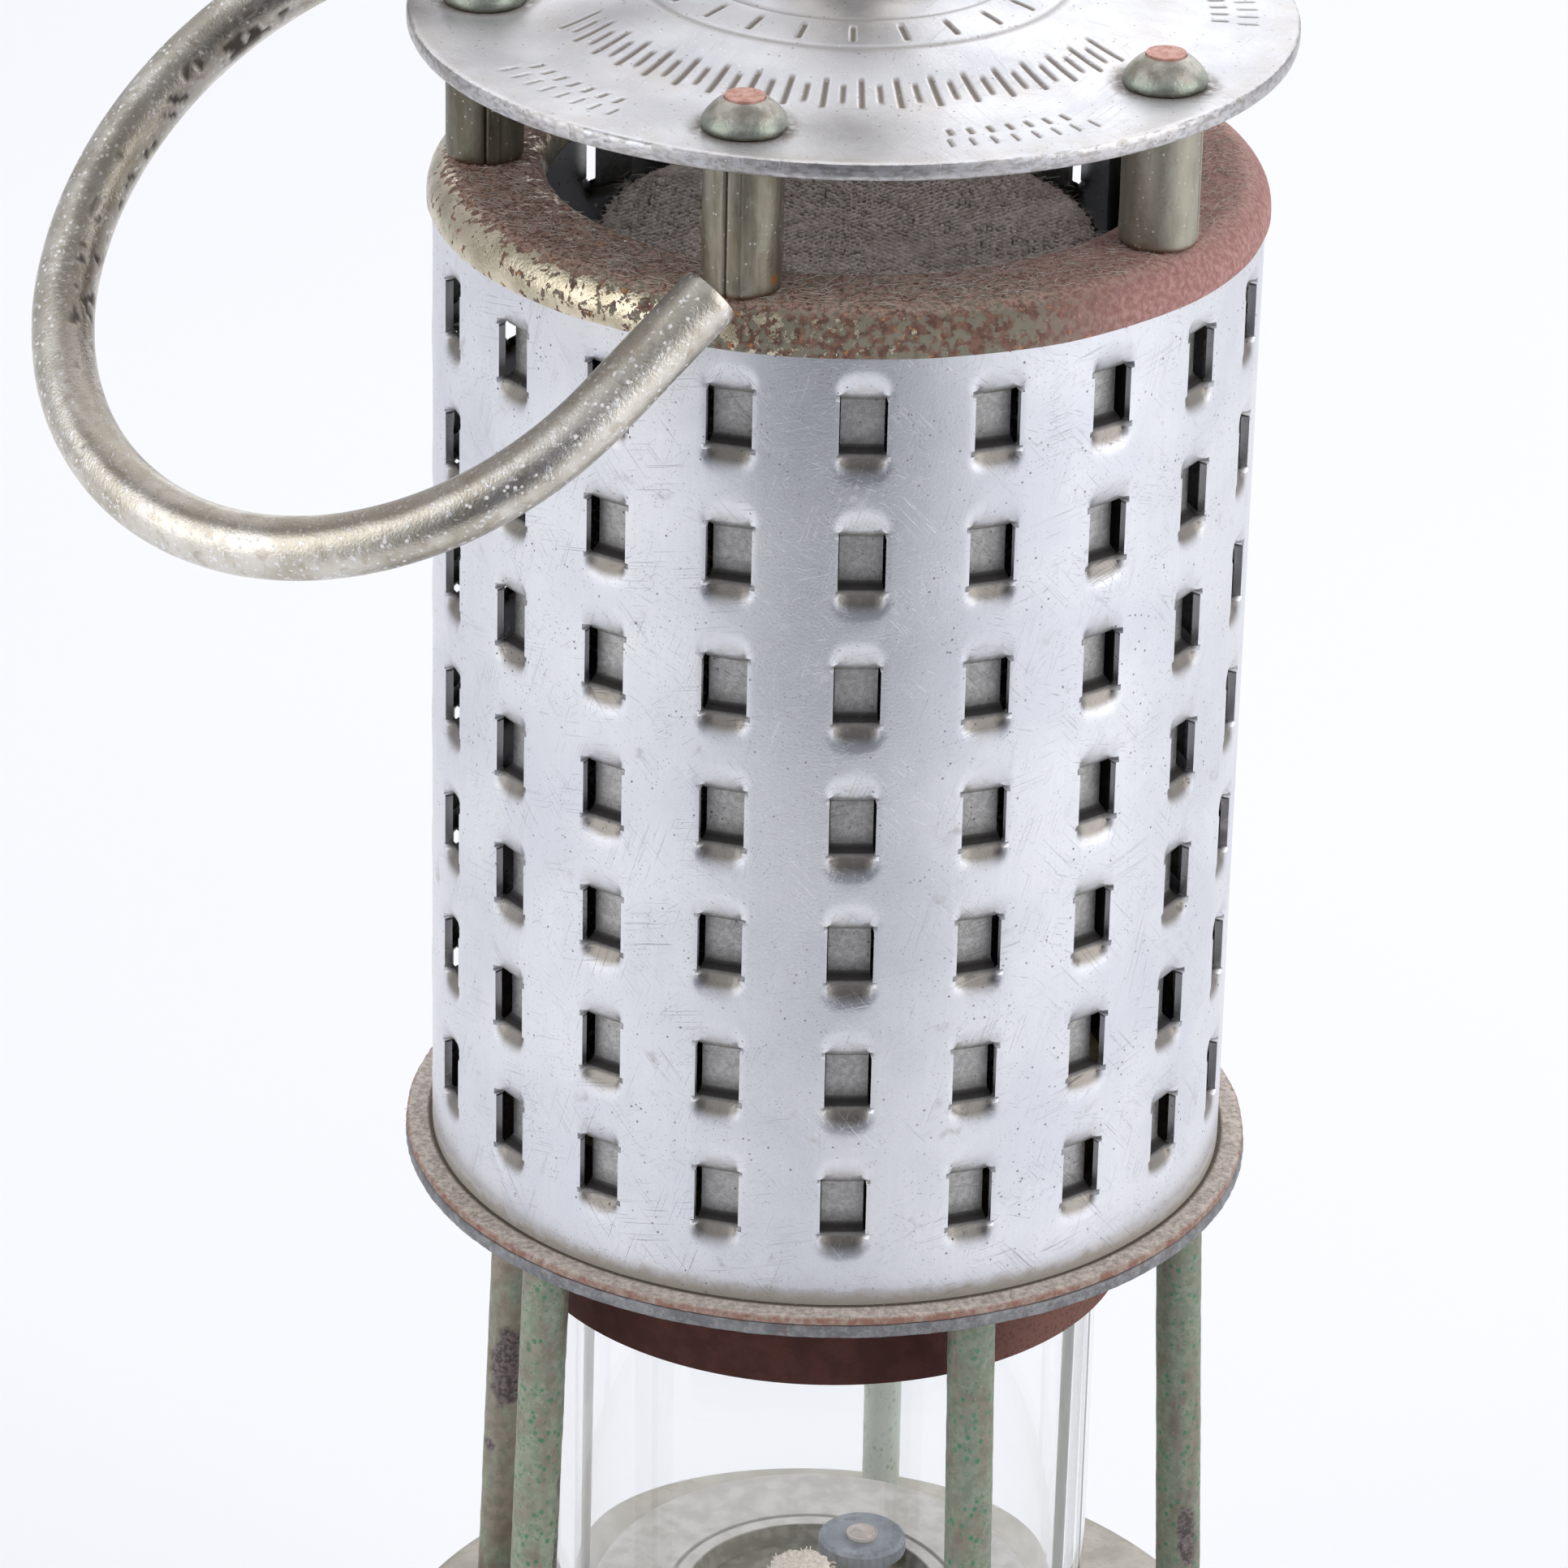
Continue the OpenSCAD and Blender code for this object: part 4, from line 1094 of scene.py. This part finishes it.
def crown_rise(r):
    """How far the raised middle of the hood stands above its flat outer part."""
    inside = CROWN_R - r
    soft = 3.0
    rounded = np.where(np.abs(inside) < soft, (inside + soft) ** 2 / (4 * soft), np.maximum(inside, 0))
    t = np.clip(rounded / (CROWN_R - SEAT_R), 0, 1)
    return CROWN_H * (1 - (1 - t) ** 2)


def build_hood():
    """Disc with a raised middle, a bevelled, slightly knocked edge and plain stamped marks on top."""
    top, low, r = HOOD_TOP, HOOD_LOW[2], HOOD_HIGH[0]
    hole, bevel = 4.1, 0.4
    edge = [(r - bevel, low), (r - 0.1, low + 0.12), (r, low + bevel)]
    edge += spaced_profile((r, low + bevel), (r, top - bevel), 3)[1:]
    edge += [(r - 0.12, top - 0.12), (r - bevel, top)]
    across = [(value, top) for value in np.linspace(r - bevel, hole, 120)[1:]]
    profile = [(value, low) for value in np.linspace(hole, CROWN_R, 20)] + edge + across
    steps = 900
    flat = revolve(profile, steps).reshape(-1, 3)
    on_top = np.tile(np.array([p[1] == top for p in profile]), steps)
    marks = stamp_marks(flat[:, 0], flat[:, 1]) * on_top
    flat[:, 2] += crown_rise(off_axis(flat)) - 0.16 * marks
    wave = rough_field(flat, 9, 31)
    flat[:, 2] += on_top * (0.05 * wave - 0.05)
    radial = off_axis(flat)
    knock = 0.12 * np.clip(rough_field(flat, 2.2, 32) - 0.25, 0, 1) * (radial > r - 0.3)
    push_out(flat, -knock)
    dirt = np.zeros(len(flat))
    for k in range(PIECES):
        centre = at_turn(ROD_R, ROD_TURN + PIECE_TURN * k, 0)
        away = np.hypot(flat[:, 0] - centre[0], flat[:, 1] - centre[1])
        dirt = np.maximum(dirt, 1 - smooth_step(away, DOME_R - 0.2, DOME_R + 1.7))
    dirt = np.maximum(dirt, 0.8 * (1 - smooth_step(radial, 8.2, 12.0))) * on_top
    return make_piece("hood_disc", flat, loop_faces(steps, len(profile)), FINISH["hood"], "hood",
                      {"stamp": marks, "dirt": dirt}, 50)


def build_domes():
    """Peened dome washers, bell shaped over a short upright skirt, each a little different."""
    for k in range(PIECES):
        number = k + 1
        z = HOOD_TOP
        hole = ROD_D / 2 + 0.03
        skirt = DOME_R - 0.03
        outline = [(hole, z), (skirt - 0.1, z), (skirt, z + 0.12), (skirt, z + 0.5)]
        outline += arc(0, z - 1.0, 4.0, 25, 64, 12) + [(hole, z + 2.55)]
        steps = 64
        grid = revolve(outline, steps).reshape(-1, 3)
        dent = rough_field(grid + k * 11, 1.6, 41)
        centre_r = off_axis(grid)
        scale = 1 + (0.03 * dent - 0.015) * (centre_r > hole + 0.1)
        grid[:, :2] *= scale[:, None]
        grid += at_turn(ROD_R, ROD_TURN + PIECE_TURN * k, 0)
        faces = loop_faces(steps, len(outline))
        make_piece(f"dome_{number}", grid, faces, FINISH["dome"], f"dome_washer_{number}", sharp=60)


def build_tubes():
    """Distance tubes rolled from sheet: each has one open seam and a crease, and a rust-coloured chip near
    its foot.
    """
    for k in range(PIECES):
        number = k + 1
        z0, z1 = RIM_HIGH[2], HOOD_LOW[2]
        steps, levels = 180, 28
        hole = ROD_D / 2 + 0.06
        zs = list(np.linspace(z0, z1, levels))
        profile = [(TUBE_R - 0.1, z0)] + [(TUBE_R, z) for z in zs[1:-1]]
        profile += [(TUBE_R - 0.1, z1), (hole, z1), (hole, z0)]
        flat = revolve(profile, steps).reshape(-1, 3)
        radius = off_axis(flat)
        turn = turn_of(flat)
        outer = radius > TUBE_R - 0.3
        seam_turn = -24 + 97 * k
        away = (turn - seam_turn + 180) % 360 - 180
        seam = outer * np.exp(-(away / 2.2) ** 2)
        crease = outer * np.exp(-((away - 22) / 2.2) ** 2)
        change = -0.22 * seam - 0.07 * crease + outer * (0.03 * rough_field(flat + k * 9, 2.5, 43) - 0.03)
        aside = (away - 80) / 9
        chip = outer * (1 - smooth_step(np.hypot(aside, (flat[:, 2] - z0 - 1.3) / 0.5), 0.6, 1.1))
        push_out(flat, change)
        flat += at_turn(ROD_R, ROD_TURN + PIECE_TURN * k, 0)
        weights = {"seam": 0.85 * seam + 0.4 * crease, "chip": chip}
        faces = loop_faces(steps, len(profile))
        make_piece(f"tube_{number}", flat, faces, FINISH["tube"], f"distance_tube_{number}", weights, 45)


def build_pillars():
    """Leaning round pillars with a worn, slightly uneven skin and a few deep chips."""
    chips = {  # height above the foot, turn, half height, half width in degrees
        1: [(9, 100, 6.0, 42)],
        2: [(15.5, 22, 4.2, 34)],
        3: [(30, 200, 3.0, 30)],
        4: [(24, -5, 5.2, 55), (15, -50, 0.6, 30)],
        5: [(12, 80, 2.0, 18), (34, 80, 1.6, 16), (27, 75, 2.2, 16)],
    }
    z0, z1 = RING_TOP, PLATE_LOW[2]
    for k in range(PIECES):
        number = k + 1
        steps, levels = 48, 150
        ts = np.linspace(0, 1, levels)
        turns = np.linspace(0, 360, steps, endpoint=False)
        flat = np.concatenate([at_turn(PILLAR_R, turns, z0 + (z1 - z0) * t) for t in ts])
        chip = np.zeros(len(flat))
        turn = np.tile(turns, levels)
        height = flat[:, 2] - z0
        apart = flat + k * 31
        for up, facing, size, wide in chips[number]:
            aside = (turn - facing + 180) % 360 - 180
            away = np.hypot(aside / wide, (height - up) / size)
            away = away + 0.35 * rough_field(apart, 1.2, 47)
            chip = np.maximum(chip, 1 - smooth_step(away, 0.75, 1.0))
        change = 0.035 * rough_field(apart, 1.3, 48) + 0.03 * rough_field(apart, 5, 49) - 0.05 - 0.16 * chip
        flat[:, :2] *= (1 + change / PILLAR_R)[:, None]
        pillar_turn = PILLAR_TURN + PIECE_TURN * k
        centre_r = PILLAR_FOOT_R + (PILLAR_TOP_R - PILLAR_FOOT_R) * (height / (z1 - z0))
        flat += at_turn(centre_r, pillar_turn, 0 * centre_r)
        tan = {4: 0.95}.get(number, 0.0)
        # Pillar 3, at the back in shade, gets painted light; pillars 1 and 2 get painted shade.
        pale = {3: 1.0}.get(number, 0.0)
        deep = {1: 0.2, 2: 0.17}.get(number, 0.0)
        patina = pillar_finish(f"pillar_patina_{number}", 300 + 20 * k, tan, pale, deep)
        make_piece(f"pillar_rod_{number}", flat, tube_faces(levels, steps), patina, f"pillar_{number}",
                   {"chip": chip}, 60)


def build_plates():
    """Frame plate with a rough sawn edge, and the thin flange on it."""
    for name, node, low, high, finish, rough in (
            ("plate_disc", "frame_plate", PLATE_LOW, PLATE_HIGH, "plate", 0.07),
            ("flange_disc", "bonnet_flange", FLANGE_LOW, FLANGE_HIGH, "flange", 0.05)):
        r, z0, z1 = high[0], low[2], high[2]
        profile = [(PORT_R, z0), (r - 0.2, z0), (r - 0.03, z0 + 0.12)]
        profile += spaced_profile((r, z0 + 0.2), (r, z1 - 0.2), 4) + [(r - 0.12, z1 - 0.04), (r - 0.3, z1)]
        profile += [(value, z1) for value in np.linspace(r - 0.7, BONNET_R - 0.5, 6)] + [(PORT_R, z1)]
        steps = 720
        flat = revolve(profile, steps).reshape(-1, 3)
        radius = off_axis(flat)
        edge = radius > r - 0.25
        change = edge * (rough * rough_field(flat, 0.5, 51) + 0.05 * rough_field(flat, 4, 52) - rough - 0.05)
        push_out(flat, change)
        make_piece(name, flat, loop_faces(steps, len(profile)), FINISH[finish], node, sharp=50)


# ---- Burner ----


def build_wick():
    """Frayed cotton wick, wider than its tube at the top."""
    steps, levels = 64, 40
    zs = np.linspace(WICK_LOW[2], WICK_HIGH[2] - 0.5, levels)
    turns = np.linspace(0, 360, steps, endpoint=False)
    tube_top = WICK_HIGH[2] - WICK_OUT
    rows = [at_turn(WICK_R, turns, z) for z in zs]
    rows += [at_turn(radius, turns, WICK_HIGH[2] - 0.35) for radius in (2.3, 1.7, 1.1, 0.5)]
    flat = np.concatenate(rows)
    lump = rough_field(flat, 0.55, 61)
    above = smooth_step(flat[:, 2], tube_top, tube_top + 0.8)
    radius = off_axis(flat)
    flat[:, :2] *= (1 + above * (0.14 * lump + 0.02) * (radius / 2.7))[:, None]
    flat[:, 2] += above * 0.3 * (lump - 0.3)
    bundle = Bundle()
    bundle.add(flat, tube_faces(len(rows), steps))
    draw = random.Random(5)
    for _ in range(170):
        turn, rad = draw.uniform(0, 360), 2.75 * math.sqrt(draw.random())
        start = at_turn(rad, turn, WICK_HIGH[2] - 1.0 - 0.9 * draw.random() * (rad > 2.2))
        out = draw.uniform(0.0, 0.9) * (0.4 + rad / 2.7)
        lean = at_turn(out, turn + draw.uniform(-50, 50), draw.uniform(0.1, 0.8))
        bend = np.array([draw.uniform(-0.25, 0.25) for _ in range(3)])
        path = np.array([start, start + lean * 0.5 + bend, start + lean])
        path[:, 2] = np.minimum(path[:, 2], WICK_HIGH[2] - 0.05)
        bundle.add(*wire(path, 0.07, 4))
    points = bundle.all_points() + np.array([*WICK_AT, 0])
    return make_piece("wick_cotton", points, bundle.faces, FINISH["wick"], "wick", sharp=80)


def build_striker():
    """Striker drum with fine teeth, a bevelled top and a pale rivet."""
    centre = (WHEEL_LOW + WHEEL_HIGH) / 2
    r = (WHEEL_HIGH[0] - WHEEL_LOW[0]) / 2
    z0, z1 = WHEEL_LOW[2], WHEEL_HIGH[2] - 0.5
    steps = 144
    hole, sunk = 1.25, z1 - 0.12
    profile = [(hole, z0), (r - 0.35, z0), (r, z0 + 0.3), (r, z1 - 0.35), (r - 0.4, z1), (2.6, z1)]
    profile += [(value, sunk) for value in (2.3, 1.9, 1.6, hole)]
    flat = revolve(profile, steps).reshape(-1, 3)
    radius = off_axis(flat)
    turn = turn_of(flat)
    tooth = 0.04 * (np.sin(np.radians(turn) * 36) - 1) * (radius > r - 0.1)
    push_out(flat, tooth)
    bundle = Bundle()
    bundle.add(flat, loop_faces(steps, len(profile)))
    cap = [(0.02, z1 - 0.2), (1.5, z1 - 0.2), (1.5, z1 + 0.18)]
    cap += arc(0.55, z1 - 0.45, 0.95, 42, 90, 5) + [(0.02, z1 + 0.5)]
    rivet = revolve(cap, 40).reshape(-1, 3)
    head_start = len(bundle.faces)
    bundle.add(rivet, loop_faces(40, len(cap)))
    points = bundle.all_points() + np.array([centre[0], centre[1], 0])
    piece = make_piece("striker_drum", points, bundle.faces, FINISH["striker"], "striker_wheel", sharp=40)
    piece.data.materials.append(FINISH["rivet"])
    for face in piece.data.polygons[head_start:]:
        face.material_index = 1
    return piece


# ---- Hook ----


def hook_path():
    """Points in the hook's plane along straight lines, by length, and bends, by radius and degrees."""
    stretches = [("line", 14.0, 0), ("bend", 10.0, 46.3), ("line", 37.0, 0), ("bend", 32.0, 66.1),
                 ("bend", 29.7, 141.4), ("line", 12.8, 0)]
    spacing = 0.4
    at, heading = np.array([7.5, 0.0]), math.pi
    points = [at.copy()]
    for kind, size, sweep in stretches:
        if kind == "line":
            n = max(2, round(size / spacing))
            step = size / n * np.array([math.cos(heading), math.sin(heading)])
            for _ in range(n):
                at = at + step
                points.append(at.copy())
        else:
            angle = math.radians(sweep)
            n = max(2, round(size * angle / spacing))
            centre = at + size * np.array([math.sin(heading), -math.cos(heading)])
            for _ in range(n):
                heading -= angle / n
                at = centre - size * np.array([math.sin(heading), -math.cos(heading)])
                points.append(at.copy())
    return np.array(points)


def hook_wear(points, run, angle):
    """How pitted the rod is, and where dark brown painted shade and reflection run along its shaded side, by
    the run from its first end and the angle round it.
    """
    inside = smooth_step(-0.95 * np.sin(angle) - 0.3 * np.cos(angle), 0.7, 0.93)
    stretch = smooth_step(run, 50, 66) * (1 - smooth_step(run, 100, 118))
    spots = rough_field(points, 0.95, 71) + 0.7 * rough_field(points, 2.6, 72)
    pit = smooth_step(spots + 0.55 * inside * stretch, 0.72, 0.9) * inside * stretch
    rare = smooth_step(rough_field(points, 1.1, 73), 0.74, 0.82) * 0.5
    # The dark side and the dark line along the rod are painted shade and dark reflection.
    side = -0.7 * np.sin(angle) - 0.7 * np.cos(angle)
    painted_dark_side = smooth_step(side + 0.1 * rough_field(points, 3.2, 75), 0.75, 0.95)
    painted_dark_side *= smooth_step(run, 44, 60) * (1 - smooth_step(run, 112, 135))
    side = -0.35 * np.sin(angle) - 0.94 * np.cos(angle)
    painted_dark_stripe = smooth_step(side + 0.06 * rough_field(points, 3.2, 76), 0.84, 0.97)
    return np.maximum(pit, rare), np.maximum(painted_dark_side, painted_dark_stripe * smooth_step(run, 100, 125))


def build_hook():
    """Bent round rod with dark pits on the inside of the bend and a blunt cut tip."""
    flat_path = hook_path()
    around = Matrix.Rotation(math.radians(HOOK_TURN), 3, "Z")
    spread = np.array(around @ Matrix.Rotation(math.radians(180 + HOOK_DROP), 3, "X"))
    path = np.c_[flat_path, np.zeros(len(flat_path))] @ spread.T + np.array([0, 0, PIVOT_Z])
    across = spread @ np.array([0, 0, 1.0])
    ahead = np.gradient(path, axis=0)
    ahead /= np.linalg.norm(ahead, axis=1)[:, None]
    inward = np.cross(across, ahead)
    run = np.concatenate([[0], np.cumsum(np.linalg.norm(np.diff(path, axis=0), axis=1))])
    total = run[-1]
    sides = 52
    angles = np.linspace(0, 2 * math.pi, sides, endpoint=False)
    radius = np.full(len(path), HOOK_R - 0.02)
    ends = np.minimum(run, total - run)
    radius -= 0.14 * (1 - smooth_step(ends, 0.0, 0.3))
    ring = path[:, None, :] + (across[None, None, :] * np.cos(angles)[None, :, None]
                               + inward[:, None, :] * np.sin(angles)[None, :, None]) * radius[:, None, None]
    flat = ring.reshape(-1, 3)
    pit, painted_dark_side = hook_wear(flat, np.repeat(run, sides), np.tile(angles, len(path)))
    normal = (flat - np.repeat(path, sides, axis=0))
    normal /= np.linalg.norm(normal, axis=1)[:, None]
    flat += normal * (-0.13 * pit + 0.018 * rough_field(flat, 3.0, 74) - 0.015)[:, None]
    inside_out = tube_faces(len(path), sides)
    faces = [face[:1] + face[:0:-1] for face in inside_out]
    return make_piece("hook_rod", flat, faces, FINISH["hook"], "hook", {"pit": pit, "painted_dark_side": painted_dark_side}, 50)


# ---- Stage, light and camera ----


def build_floor():
    """A flat table, 6 m square, as a grid of quads."""
    half, steps = 3.0, 12
    lines = [half * (i / steps - 0.5) * 2 for i in range(steps + 1)]
    points = [(x, y, 0) for x in lines for y in lines]
    count = steps + 1
    corners = [i * count + j for i in range(steps) for j in range(steps)]
    faces = [(a, a + count, a + count + 1, a + 1) for a in corners]
    mesh = bpy.data.meshes.new("floor")
    mesh.from_pydata(points, [], faces)
    mesh.materials.append(FINISH["floor"])
    floor = bpy.data.objects.new("floor", mesh)
    bpy.context.scene.collection.objects.link(floor)


def soft_light(name, place, target, size, power):
    """A white softbox of that size in metres, aimed at the target."""
    data = bpy.data.lights.new(name, "AREA")
    data.shape = "RECTANGLE"
    data.size, data.size_y = size
    data.energy = power
    lamp = bpy.data.objects.new(name, data)
    lamp.location = place
    lamp.rotation_euler = (Vector(target) - Vector(place)).to_track_quat("-Z", "Y").to_euler()
    bpy.context.scene.collection.objects.link(lamp)


def build_light():
    """Soft white surroundings, four large faint softboxes, and the dark room in front of the table."""
    world = bpy.data.worlds.new("studio")
    world.use_nodes = True
    world.node_tree.nodes["Background"].inputs["Color"].default_value = (0.93, 0.95, 1.0, 1)
    world.node_tree.nodes["Background"].inputs["Strength"].default_value = 0.58
    bpy.context.scene.world = world
    middle = (0, 0, 0.14)
    soft_light("left", (-0.8, -0.35, 0.5), middle, (0.8, 0.9), 3.4)
    soft_light("right", (0.8, -0.3, 0.5), middle, (0.8, 0.9), 4.2)
    soft_light("above", (0.0, 0.45, 0.95), middle, (1.2, 0.7), 2.0)
    soft_light("behind", (0.35, 1.05, 0.75), (0, 0, 0.22), (2.0, 1.0), 6.6)
    build_dark_room()


def build_dark_room():
    """Dull panels in front of the table, seen only in reflections; they darken what faces the front."""
    f = Finish("dark_room")
    f.done(f.mix(f.grain(90, 145, 2.0), (0.05, 0.055, 0.075), (0.08, 0.085, 0.11)), 0.0, 0.9)
    near, far, half, tall = -0.40, -0.8, 0.26, 0.75
    points = [(-half, near, 0.002), (half, near, 0.002), (half, far, 0.002), (-half, far, 0.002),
              (half, far, tall), (-half, far, tall)]
    mesh = bpy.data.meshes.new("dark_room")
    mesh.from_pydata(points, [], [(0, 1, 2, 3), (3, 2, 4, 5)])
    mesh.materials.append(f.material)
    panel = bpy.data.objects.new("dark_room", mesh)
    bpy.context.scene.collection.objects.link(panel)
    panel.visible_camera = False
    panel.visible_diffuse = False
    panel.visible_transmission = False
    panel.visible_shadow = False


def build_camera():
    """The photograph's view: distance and height above the lamp, then small turns about its own axes."""
    eye = Vector((0, -0.5963, 0.4324))
    elevation, yaw, pitch, roll = (math.radians(a) for a in (24.594, 0.384, -1.074, -1.478))
    ahead = Vector((0, math.cos(elevation), -math.sin(elevation)))
    right = Vector((1, 0, 0))
    up = right.cross(ahead)
    turn = Matrix.Rotation(yaw, 3, up)
    ahead, right = turn @ ahead, turn @ right
    turn = Matrix.Rotation(pitch, 3, right)
    ahead, up = turn @ ahead, turn @ up
    turn = Matrix.Rotation(roll, 3, ahead)
    right, up = turn @ right, turn @ up
    data = bpy.data.cameras.new("camera")
    sensor = 36
    data.sensor_width = sensor
    data.lens = sensor * 9100 / 1932
    data.clip_start = 0.02
    camera = bpy.data.objects.new("camera", data)
    camera.matrix_world = Matrix((right, up, -ahead)).transposed().to_4x4()
    camera.location = eye
    bpy.context.scene.collection.objects.link(camera)
    bpy.context.scene.camera = camera


finish_cad_nodes()
NODES["glass"].visible_shadow = False
build_bonnet()
build_rim()
build_gauze()
build_lint()
build_hood()
build_domes()
build_tubes()
build_pillars()
build_plates()
build_wick()
build_striker()
build_hook()
build_floor()
build_light()
build_camera()
bpy.context.scene.view_settings.view_transform = "Standard"
